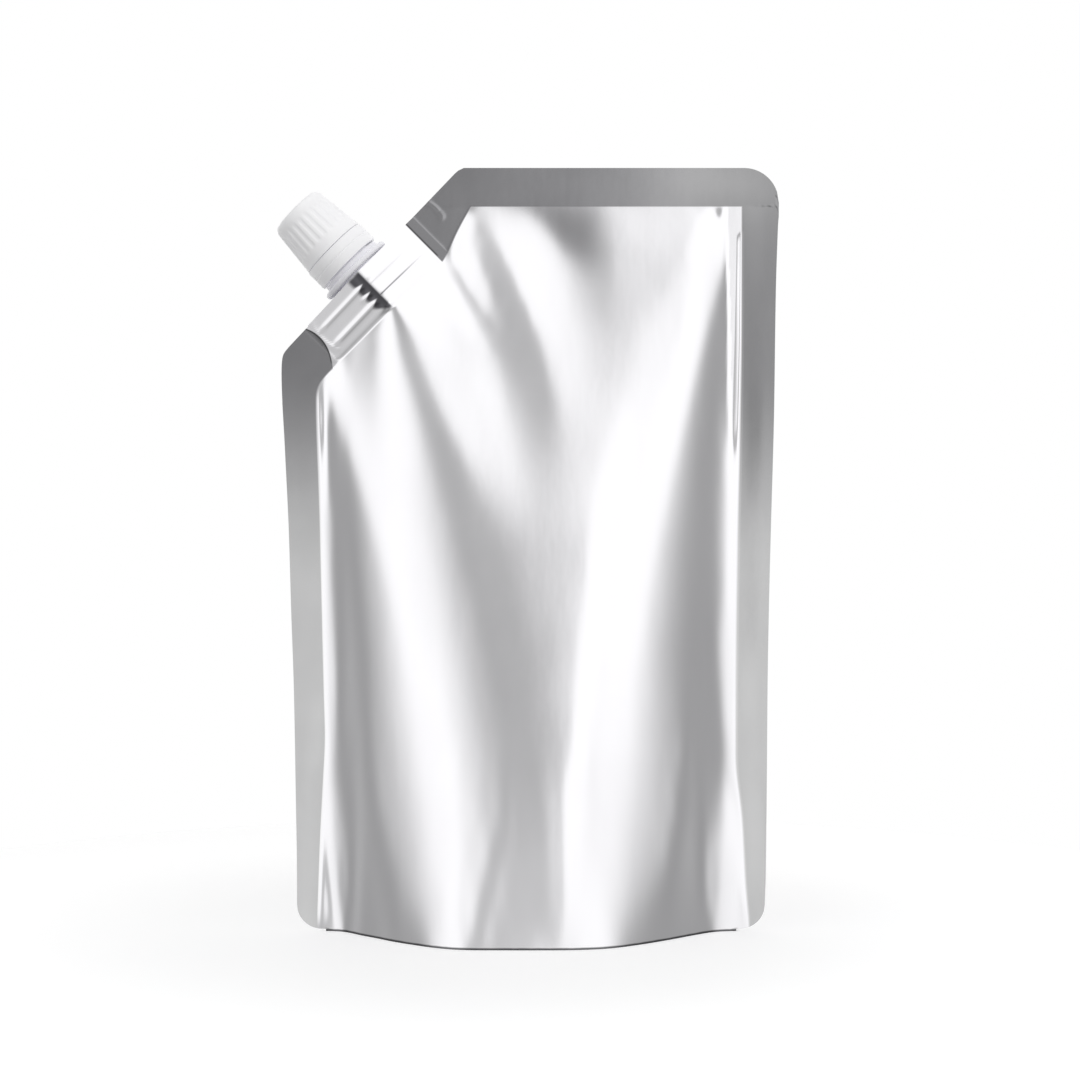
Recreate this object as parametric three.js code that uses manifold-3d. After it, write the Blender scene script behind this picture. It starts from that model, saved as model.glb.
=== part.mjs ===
// Hand soap refill pack: a filled stand-up film pouch with a welded corner spout, a fluted screw
// cap with its tamper-evident band, and the sealing disc inside the cap.
// Millimetres, +Z up, front panel facing -Y. Origin: centre of the base, on the surface it stands on.

import * as THREE from "three";
import { mergeVertices } from "three/addons/utils/BufferGeometryUtils.js";
import Module from "manifold-3d";

const wasm = await Module();
wasm.setup();

// ---------------------------------------------------------------- driving dimensions
// pouch outline, seen from the front: x of the outer edges against height
const EDGE_L = [[0, -66.6], [17.4, -66.6], [34.5, -66.8], [68.7, -67.3], [91.4, -68.0], [114.1, -68.6], [136.7, -69.6], [159.3, -70.6], [164.0, -70.5]];
const EDGE_R = [[0, 66.3], [17.4, 66.6], [45.9, 66.8], [68.7, 66.9], [91.4, 67.2], [114.1, 67.7], [148.0, 68.5], [181.8, 68.9], [205.6, 69.7]];
const POUCH_TOP = 216.0;      // top edge of the film
const CUT_TOP_X = -20.1;      // where the corner cut meets the top edge
const CORNER_TOP_R = 9.8;     // rounded top right corner
const CORNER_BASE_R = 7.0;    // rounded lower corners of the side seals
const SKIRT_LIFT = 0.7;       // the corners of the side seals clear the floor by this much
const SEAL_HALF = 0.2;        // half of the welded films' thickness
// inner edges of the side seals, where the body starts to swell, against height
const INNER_L = [[0, -56.5], [12, -57.6], [26, -58.9], [43, -59.1], [56, -58.6], [68, -58.8], [117, -59.8], [155, -60.8], [217, -60.8]];
const INNER_R = [[0, 56.5], [12, 57.8], [32, 59.4], [50, 58.3], [70, 58.3], [111, 58.7], [137, 59.1], [170, 59.5], [217, 59.5]];
const INNER_TOP = 205.3;      // lower edge of the top seal
// half depth of the filled body on its centre line, against height
const DEPTH = [[0, 30.1], [15, 30.5], [30, 30.2], [42, 29.2], [65, 26.2], [93, 22.0], [121, 17.0], [149, 11.8], [177, 6.2], [196, 2.1], [205.3, 0]];
const CROWN = [[0, 2.3], [45, 2.1], [217, 2.1]]; // roundness of the cross-section

// spout axis: through HEAD_X, HEAD_Z on the film's cut edge, square to the cut, 45 degrees up and to the left
const HEAD_X = -48.6, HEAD_Z = 186.4;
const HEAD_TILT = -Math.PI / 4;
// along the spout axis, from the film's cut edge
const BOAT_DEPTH = 12.0, BOAT_TOP = -0.15, BOAT_HALF_LENGTH = 20.6, BOAT_HALF_WIDTH = 7.1, BOAT_GROOVE = 0.65, BOAT_TIP = 0.3;
const RIB_THICK = 1.25, RIB_COUNT = 5;
const FLANGE_R = 11.1, FLANGE_LOW = 0.45, FLANGE_TOP = 2.0;
const COLLAR_R = 9.4, COLLAR_TOP = 3.4;
const NECK_R = 7.4, MOUTH = 22.0, BEAD_R = 8.3;
const BORE_R = 5.85;
const BAND_R = 10.05, BAND_LOW = 3.8, BAND_TOP = 9.65, BAND_INNER_R = 9.0, BAND_LIP_R = 7.95;
const CAP_LOW = 10.0, CAP_TOP = 25.2, CAP_BASE_R = 9.8, CAP_TOP_R = 8.15, CAP_INNER_R = 7.72, CAP_CEILING = 23.8;
const FLUTES = 24, FLUTE_DEPTH = 0.35, FLUTE_LOW = 13.0, FLUTE_TOP = 23.2;
const LINER_R = 7.4, LINER_LOW = 22.3, LINER_TOP = 23.5;
const FILM_WALL = 0.42, WELD_GAP = 0.3; // film over the boat, and the space left between the two solids

// ---------------------------------------------------------------- helpers
const lerp = (table, v) => {
  if (v <= table[0][0]) return table[0][1];
  for (let i = 1; i < table.length; i++) {
    const [a, fa] = table[i - 1], [b, fb] = table[i];
    if (v <= b) return fa + ((fb - fa) * (v - a)) / (b - a);
  }
  return table[table.length - 1][1];
};

// a closed BufferGeometry, made into a solid whose faces point out
const solid = (geometry) => {
  let g = geometry.clone();
  for (const name of Object.keys(g.attributes)) if (name !== "position") g.deleteAttribute(name);
  g = mergeVertices(g, 1e-4);
  const pos = g.attributes.position, index = g.index.array, tris = [];
  let volume = 0;
  const a = new THREE.Vector3(), b = new THREE.Vector3(), c = new THREE.Vector3();
  for (let i = 0; i < index.length; i += 3) {
    const [p, q, r] = [index[i], index[i + 1], index[i + 2]];
    if (p === q || q === r || p === r) continue;
    a.fromBufferAttribute(pos, p); b.fromBufferAttribute(pos, q); c.fromBufferAttribute(pos, r);
    volume += a.dot(b.cross(c)) / 6;
    tris.push(p, q, r);
  }
  if (volume < 0) for (let i = 0; i < tris.length; i += 3) [tris[i + 1], tris[i + 2]] = [tris[i + 2], tris[i + 1]];
  return new wasm.Manifold(new wasm.Mesh({ numProp: 3, vertProperties: new Float32Array(pos.array), triVerts: new Uint32Array(tris) }));
};

const geometryOf = (body) => {
  const m = body.getMesh();
  const g = new THREE.BufferGeometry();
  g.setAttribute("position", new THREE.BufferAttribute(new Float32Array(m.vertProperties), 3));
  g.setIndex(new THREE.BufferAttribute(new Uint32Array(m.triVerts), 1));
  g.computeVertexNormals();
  return g;
};

// a turned piece, its axis along Z: points are [radius, height]
const turned = (points, segments) =>
  new THREE.LatheGeometry(points.map(([r, z]) => new THREE.Vector2(r, z)), segments).rotateX(Math.PI / 2);

// a closed outline in X and Y, drawn out along Z between two heights
const prism = (points, low, high) =>
  new THREE.ExtrudeGeometry(new THREE.Shape(points.map(([x, y]) => new THREE.Vector2(x, y))), { depth: high - low, bevelEnabled: false, steps: 1 }).translate(0, 0, low);

// plan of the boat: a round middle with straight flanks running out to thin tips
const boatHalfWidth = (s, radius, halfLength, tip) => {
  const x = Math.abs(s);
  if (x >= halfLength) return 0;
  const touch = Math.acos(radius / halfLength), turn = radius * Math.cos(touch);
  const y = x <= turn ? Math.sqrt(radius * radius - x * x) : (radius * Math.sin(touch) * (halfLength - x)) / (halfLength - turn);
  return Math.max(y, tip);
};
const boatPlan = (radius, halfLength, tip) => {
  const touch = Math.acos(radius / halfLength), turn = radius * Math.cos(touch);
  const reach = halfLength - tip * ((halfLength - turn) / (radius * Math.sin(touch)));
  const side = [[halfLength, tip], [reach, tip]];
  const arc = 8;
  for (let i = 0; i <= arc; i++) {
    const angle = touch + ((Math.PI - 2 * touch) * i) / arc;
    side.push([radius * Math.cos(angle), radius * Math.sin(angle)]);
  }
  side.push([-reach, tip], [-halfLength, tip]);
  return [...side, ...side.map(([x, y]) => [x, -y]).reverse()];
};

const head = new THREE.Matrix4().makeRotationY(HEAD_TILT).setPosition(HEAD_X, 0, HEAD_Z);
const C45 = Math.SQRT1_2;
const alongCut = (x, z) => (x - HEAD_X) * C45 + (z - HEAD_Z) * C45; // s
const alongAxis = (x, z) => -(x - HEAD_X) * C45 + (z - HEAD_Z) * C45; // t, positive out of the pouch

// ---------------------------------------------------------------- pouch
const SLEEVE_R = BOAT_HALF_WIDTH + WELD_GAP + FILM_WALL;
const SLEEVE_LENGTH = BOAT_HALF_LENGTH + WELD_GAP + 0.9;
const SLEEVE_DEPTH = BOAT_DEPTH + WELD_GAP + FILM_WALL;

// left inner edge of the body, which steps in along the welded corner
const innerLeft = (z) => {
  const diagonal = z < 190.3 ? z - 216.8 : -26.5 + (z - 190.3) * 0.62;
  return Math.max(lerp(INNER_L, z), diagonal);
};

// half thickness of the pouch at a place on its front view
const halfDepth = (x, z) => {
  let body = 0;
  if (z < INNER_TOP) {
    const left = innerLeft(z), right = lerp(INNER_R, z);
    const u = (2 * x - left - right) / (right - left);
    if (Math.abs(u) < 1) body = lerp(DEPTH, z) * (1 - Math.abs(u) ** lerp(CROWN, z));
  }
  // the film drapes from the welded boat down to the body
  const s = alongCut(x, z), below = -SLEEVE_DEPTH - alongAxis(x, z);
  let drape = 0;
  if (Math.abs(s) < SLEEVE_LENGTH && z < INNER_TOP) {
    const sleeve = boatHalfWidth(s, SLEEVE_R, SLEEVE_LENGTH, 0);
    if (below > 0 && below < 60 && x > lerp(INNER_L, z)) drape = sleeve * (1 - below / 60);
    if (below <= 0 && alongAxis(x, z) < 3) drape = sleeve;
  }
  return SEAL_HALF + (body ** 5 + drape ** 5) ** 0.2;
};

const ROWS = [0, 5, 11, 18, 26, 34, 42, 50, 60, 70, 81, 92, 103, 114, 125, 135, 144, 152, 159, 165, 170, 175, 180, 185, 190, 194, 198, 202, INNER_TOP, 218];
const BODY_CELLS = 30;
const pouchGeometry = () => {
  const columns = BODY_CELLS + 3, front = [], back = [];
  for (const z of ROWS) {
    const left = lerp(INNER_L, z), right = lerp(INNER_R, z);
    const xs = [-76];
    for (let i = 0; i <= BODY_CELLS; i++) {
      const v = i / BODY_CELLS;
      xs.push(left + (right - left) * (0.82 * v + 0.18 * (0.5 - 0.5 * Math.cos(Math.PI * v))));
    }
    xs.push(76);
    for (const x of xs) {
      const h = halfDepth(x, z);
      front.push([x, -h, z]);
      back.push([x, h, z]);
    }
  }
  const points = [...front, ...back], n = front.length, tris = [];
  const quad = (a, b, c, d) => tris.push(a, b, c, a, c, d);
  for (let r = 0; r < ROWS.length - 1; r++)
    for (let k = 0; k < columns - 1; k++) {
      const i = r * columns + k;
      quad(i, i + 1, i + columns + 1, i + columns);
      quad(n + i, n + i + columns, n + i + columns + 1, n + i + 1);
    }
  const last = (ROWS.length - 1) * columns;
  for (let k = 0; k < columns - 1; k++) {
    quad(k, n + k, n + k + 1, k + 1);
    quad(last + k, last + k + 1, n + last + k + 1, n + last + k);
  }
  for (let r = 0; r < ROWS.length - 1; r++) {
    const i = r * columns, j = i + columns - 1;
    quad(i, i + columns, n + i + columns, n + i);
    quad(j, n + j, n + j + columns, j + columns);
  }
  const g = new THREE.BufferGeometry();
  g.setAttribute("position", new THREE.Float32BufferAttribute(points.flat(), 3));
  g.setIndex(tris);
  return g;
};

// the film's outline as a thick slab, to trim the swollen sheet with
const outline = () => {
  const pts = [];
  const corner = (cx, cz, r, from, to, steps) => {
    for (let i = 0; i <= steps; i++) {
      const a = from + ((to - from) * i) / steps;
      pts.push([cx + r * Math.cos(a), cz + r * Math.sin(a)]);
    }
  };
  const h = Math.PI / 2;
  pts.push([-57, -4], [57, -4], [58.5, SKIRT_LIFT]);
  corner(lerp(EDGE_R, 8) - CORNER_BASE_R, SKIRT_LIFT + CORNER_BASE_R, CORNER_BASE_R, -h, 0, 6);
  for (const [z, x] of EDGE_R) if (z > 10 && z < POUCH_TOP - CORNER_TOP_R - 1) pts.push([x, z]);
  corner(69.7 - CORNER_TOP_R, POUCH_TOP - CORNER_TOP_R, CORNER_TOP_R, 0, h, 8);
  pts.push([CUT_TOP_X + 1.6, POUCH_TOP], [CUT_TOP_X - 0.9, POUCH_TOP - 1.0]);
  pts.push([-69.6, 164.6]);
  pts.push([-70.5, 162.6]);
  for (const [z, x] of [...EDGE_L].reverse()) if (z > 10 && z < 162) pts.push([x, z]);
  corner(lerp(EDGE_L, 8) + CORNER_BASE_R, SKIRT_LIFT + CORNER_BASE_R, CORNER_BASE_R, Math.PI, Math.PI + h, 6);
  pts.push([-58.5, SKIRT_LIFT]);
  return prism(pts, -45, 45).rotateX(h);
};

const sleeve = prism(boatPlan(SLEEVE_R, SLEEVE_LENGTH, SEAL_HALF), -SLEEVE_DEPTH, 2).applyMatrix4(head);
const pocket = prism(boatPlan(BOAT_HALF_WIDTH + WELD_GAP, BOAT_HALF_LENGTH + WELD_GAP, BOAT_TIP + WELD_GAP), -BOAT_DEPTH - WELD_GAP, 6).applyMatrix4(head);
const lips = prism(boatPlan(SLEEVE_R, BOAT_HALF_LENGTH + WELD_GAP + 2.2, BOAT_TIP + WELD_GAP + FILM_WALL), -SLEEVE_DEPTH, 2).applyMatrix4(head);

const pouch = solid(pouchGeometry()).add(solid(sleeve)).add(solid(lips)).intersect(solid(outline())).subtract(solid(pocket));

// ---------------------------------------------------------------- spout, in its own frame: Z along the axis
const ribPitch = (BOAT_DEPTH + BOAT_TOP - RIB_THICK) / (RIB_COUNT - 1);
let spout = solid(prism(boatPlan(BOAT_HALF_WIDTH - BOAT_GROOVE, BOAT_HALF_LENGTH, BOAT_TIP), -BOAT_DEPTH, BOAT_TOP));
for (let i = 0; i < RIB_COUNT; i++) {
  const low = -BOAT_DEPTH + i * ribPitch;
  spout = spout.add(solid(prism(boatPlan(BOAT_HALF_WIDTH, BOAT_HALF_LENGTH, BOAT_TIP), low, low + RIB_THICK)));
}
const neck = turned(
  [
    [0, -3], [BOAT_HALF_WIDTH - 0.35, -3], [BOAT_HALF_WIDTH - 0.35, FLANGE_LOW], [FLANGE_R - 0.3, FLANGE_LOW], [FLANGE_R, FLANGE_LOW + 0.3],
    [FLANGE_R, FLANGE_TOP - 0.4], [FLANGE_R - 0.4, FLANGE_TOP], [COLLAR_R, FLANGE_TOP], [COLLAR_R, COLLAR_TOP], [NECK_R, COLLAR_TOP],
    [NECK_R, 5.5], [BEAD_R, 5.9], [BEAD_R, 6.5], [NECK_R, 7.3], [NECK_R, MOUTH - 0.5], [NECK_R - 0.5, MOUTH], [0, MOUTH],
  ],
  40,
);
const bore = turned([[0, -BOAT_DEPTH - 2], [BORE_R, -BOAT_DEPTH - 2], [BORE_R, MOUTH + 2], [0, MOUTH + 2]], 40);
spout = spout.add(solid(neck)).subtract(solid(bore));

// ---------------------------------------------------------------- tamper band, cap and liner
const band = turned(
  [
    [BAND_INNER_R, BAND_TOP], [BAND_INNER_R, 5.3], [BAND_LIP_R, 5.0], [BAND_LIP_R, 4.5], [BAND_INNER_R - 0.3, BAND_LOW],
    [BAND_R - 0.2, BAND_LOW], [BAND_R, BAND_LOW + 0.3], [BAND_R - 0.05, BAND_TOP - 0.2], [BAND_R - 0.2, BAND_TOP], [BAND_INNER_R, BAND_TOP],
  ],
  48,
);

const capWall = (t) => CAP_BASE_R + ((CAP_TOP_R - CAP_BASE_R) * (t - CAP_LOW)) / (CAP_TOP - CAP_LOW);
const capPoints = [[0, CAP_CEILING], [CAP_INNER_R, CAP_CEILING], [CAP_INNER_R, CAP_LOW + 0.4], [CAP_INNER_R + 0.3, CAP_LOW], [CAP_BASE_R - 0.2, CAP_LOW], [CAP_BASE_R, CAP_LOW + 0.25]];
for (const t of [FLUTE_LOW - 0.4, FLUTE_LOW + 0.5, FLUTE_LOW + 1.2, FLUTE_TOP - 1.2, FLUTE_TOP - 0.4, FLUTE_TOP + 0.3]) capPoints.push([capWall(t), t]);
for (const a of [20, 45, 70]) capPoints.push([CAP_TOP_R - 1.35 + 1.45 * Math.cos((a * Math.PI) / 180), CAP_TOP - 1.35 + 1.35 * Math.sin((a * Math.PI) / 180)]);
capPoints.push([CAP_TOP_R - 1.6, CAP_TOP], [0, CAP_TOP]);
const capGeometry = turned(capPoints, FLUTES * 4);
{
  const pos = capGeometry.attributes.position;
  for (let i = 0; i < pos.count; i++) {
    const x = pos.getX(i), y = pos.getY(i), t = pos.getZ(i), r = Math.hypot(x, y);
    if (r < CAP_INNER_R + 0.35 || t < FLUTE_LOW || t > FLUTE_TOP) continue;
    const run = Math.min(1, (t - FLUTE_LOW) / 1.2, (FLUTE_TOP - t) / 1.2);
    const dip = FLUTE_DEPTH * run * (0.5 - 0.5 * Math.cos(FLUTES * Math.atan2(y, x)));
    pos.setXY(i, (x * (r - dip)) / r, (y * (r - dip)) / r);
  }
}

const liner = turned([[0, LINER_LOW], [LINER_R - 0.2, LINER_LOW], [LINER_R, LINER_LOW + 0.2], [LINER_R, LINER_TOP - 0.2], [LINER_R - 0.2, LINER_TOP], [0, LINER_TOP]], 48);

// ---------------------------------------------------------------- scene graph
const film = new THREE.MeshStandardMaterial({ color: 0xc9c9cc, roughness: 0.25, metalness: 1.0 });
const natural = new THREE.MeshStandardMaterial({ color: 0xe4e2ea, roughness: 0.4, metalness: 0.0 });
const white = new THREE.MeshStandardMaterial({ color: 0xf1f1f2, roughness: 0.45, metalness: 0.0 });
const foam = new THREE.MeshStandardMaterial({ color: 0xe9e7e0, roughness: 0.8, metalness: 0.0 });

const piece = (name, body, material) => {
  const mesh = new THREE.Mesh(geometryOf(body), material);
  mesh.name = name;
  return mesh;
};

const pack = new THREE.Group();
pack.add(piece("pouch", pouch, film));

const corner = new THREE.Group();
corner.position.set(HEAD_X, 0, HEAD_Z);
corner.rotation.y = HEAD_TILT;
corner.add(piece("spout", spout, natural));
corner.add(piece("tamper_band", solid(band), white));
corner.add(piece("cap", solid(capGeometry), white.clone()));
corner.add(piece("cap_liner", solid(liner), foam));
pack.add(corner);

export default pack;
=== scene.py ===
import math

import bpy
import numpy as np
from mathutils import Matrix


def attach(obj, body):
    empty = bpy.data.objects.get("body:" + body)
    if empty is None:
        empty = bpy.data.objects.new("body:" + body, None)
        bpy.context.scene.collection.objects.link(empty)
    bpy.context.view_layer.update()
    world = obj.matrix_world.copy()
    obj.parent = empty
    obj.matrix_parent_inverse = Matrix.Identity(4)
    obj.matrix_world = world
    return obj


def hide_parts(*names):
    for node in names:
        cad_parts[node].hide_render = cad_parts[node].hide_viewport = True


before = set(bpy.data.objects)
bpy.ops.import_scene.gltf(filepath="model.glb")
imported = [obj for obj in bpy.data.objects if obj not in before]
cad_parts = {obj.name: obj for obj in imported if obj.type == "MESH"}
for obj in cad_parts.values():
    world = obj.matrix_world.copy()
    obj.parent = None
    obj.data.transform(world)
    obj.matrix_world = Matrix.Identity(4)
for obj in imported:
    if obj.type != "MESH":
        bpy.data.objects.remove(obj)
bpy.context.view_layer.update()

MM = 0.001
SEAL_TONE = 0.87
FLOOR_GLOW = 0.20
UNDER = 0.42
DIFFUSE_LIFT = -0.42
KEY_POWER = 2.2


# ------------------------------------------------------------------ small helpers
def pchip(xk, yk, x):
    xk = np.asarray(xk, float); yk = np.asarray(yk, float); x = np.asarray(x, float)
    h = np.diff(xk); d = np.diff(yk) / h
    m = np.zeros_like(yk)
    if len(xk) > 2:
        w1 = 2 * h[1:] + h[:-1]; w2 = h[1:] + 2 * h[:-1]
        a, b = d[:-1], d[1:]
        ok = a * b > 0
        m[1:-1] = np.where(ok, (w1 + w2) / (w1 / np.where(ok, a, 1) + w2 / np.where(ok, b, 1)), 0)
    m[0] = d[0]; m[-1] = d[-1]
    i = np.clip(np.searchsorted(xk, x) - 1, 0, len(xk) - 2)
    hh = h[i]
    t = np.clip((x - xk[i]) / hh, 0, 1)
    return (1 + 2 * t) * (1 - t) ** 2 * yk[i] + t * (1 - t) ** 2 * hh * m[i] + t * t * (3 - 2 * t) * yk[i + 1] + t * t * (t - 1) * hh * m[i + 1]


def smooth(t):
    t = np.clip(t, 0, 1)
    return t * t * (3 - 2 * t)


def waves(a, b, seed, lengths, count=7):
    """A smooth random field over the plane: a few sines of each wavelength (mm), about +-1."""
    r = np.random.RandomState(seed)
    total = 0
    for length in lengths:
        for _ in range(count):
            th = r.uniform(0, math.pi); ph = r.uniform(0, 2 * math.pi); k = 2 * math.pi / (length * r.uniform(0.75, 1.3))
            total = total + np.sin(k * (a * math.cos(th) + b * math.sin(th)) + ph)
    return total / math.sqrt(count * len(lengths))


def mesh_object(name, verts, faces, smooth_shade=True, sharp=None):
    me = bpy.data.meshes.new(name)
    me.from_pydata([tuple(v) for v in np.asarray(verts, float)], [], [tuple(int(i) for i in f) for f in faces])
    me.validate(clean_customdata=False)
    me.update()
    if smooth_shade:
        me.polygons.foreach_set("use_smooth", [True] * len(me.polygons))
    ob = bpy.data.objects.new(name, me)
    bpy.context.scene.collection.objects.link(ob)
    if sharp is not None:
        me.set_sharp_from_angle(angle=math.radians(sharp))
    return ob


# ------------------------------------------------------------------ the pouch's dimensions, mm (as in the CAD)
EDGE_L = ([0, 17.4, 34.5, 68.7, 91.4, 114.1, 136.7, 159.3, 164.0], [-66.6, -66.6, -66.8, -67.3, -68.0, -68.6, -69.6, -70.55, -70.4])
EDGE_R = ([0, 17.4, 45.9, 68.7, 91.4, 114.1, 148.0, 181.8, 205.6], [66.3, 66.6, 66.8, 66.9, 67.2, 67.7, 68.5, 68.9, 69.65])
TOP = 216.0
CUT_LOW, CUT_HIGH = (-70.3, 163.9), (-20.0, 216.0)
TOP_R, BASE_R, LIFT = 9.8, 7.0, 0.7
SEAL = 0.2
INNER_L = ([-5, 0, 12, 26, 43, 56, 68, 117, 155, 217], [-61.2, -61.0, -60.5, -60.0, -59.1, -58.5, -58.8, -59.8, -60.8, -60.8])
INNER_R = ([-5, 0, 12, 32, 50, 70, 111, 137, 170, 217], [62.4, 62.2, 61.2, 60.1, 58.2, 58.2, 58.6, 59.1, 59.5, 59.4])
INNER_TOP = 205.3
HX, HZ, C45 = -48.6, 186.4, math.sqrt(0.5)
SLEEVE_R, SLEEVE_L, SLEEVE_LOW = 7.75, 21.7, -12.5
POCKET_R, POCKET_L, POCKET_LOW = 7.4, 20.9, -12.3


def st(x, z):
    return (x - HX) * C45 + (z - HZ) * C45, -(x - HX) * C45 + (z - HZ) * C45


def xz(s, t):
    return HX + (s - t) * C45, HZ + (s + t) * C45


def plan(s, r, L):
    """Half width of the boat across its length."""
    x = np.abs(s); touch = math.acos(r / L); turn = r * math.cos(touch)
    return np.where(x <= turn, np.sqrt(np.maximum(r * r - x * x, 0)), np.where(x < L, r * math.sin(touch) * (L - x) / (L - turn), 0))


def inner_edges(z):
    """Inner edges of the seals, where the body starts to swell; the left one steps in along the spout's corner."""
    o = np.linspace(-4, 4, 17); w = np.exp(-0.5 * (o / 1.8) ** 2); w /= w.sum()
    L = 0; R = 0
    for oo, ww in zip(o, w):
        q = z + oo
        diag = np.where(q < 189.6, -60.8 + (q - 155.3) * (35.9 / 34.3), np.where(q < 197.2, -24.9 + (q - 189.6) * (3.4 / 7.6), -21.5 + (q - 197.2) * (4.2 / 7.9)))
        L = L + ww * np.maximum(pchip(*INNER_L, q), diag)
        R = R + ww * pchip(*INNER_R, q)
    return L, R


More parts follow.
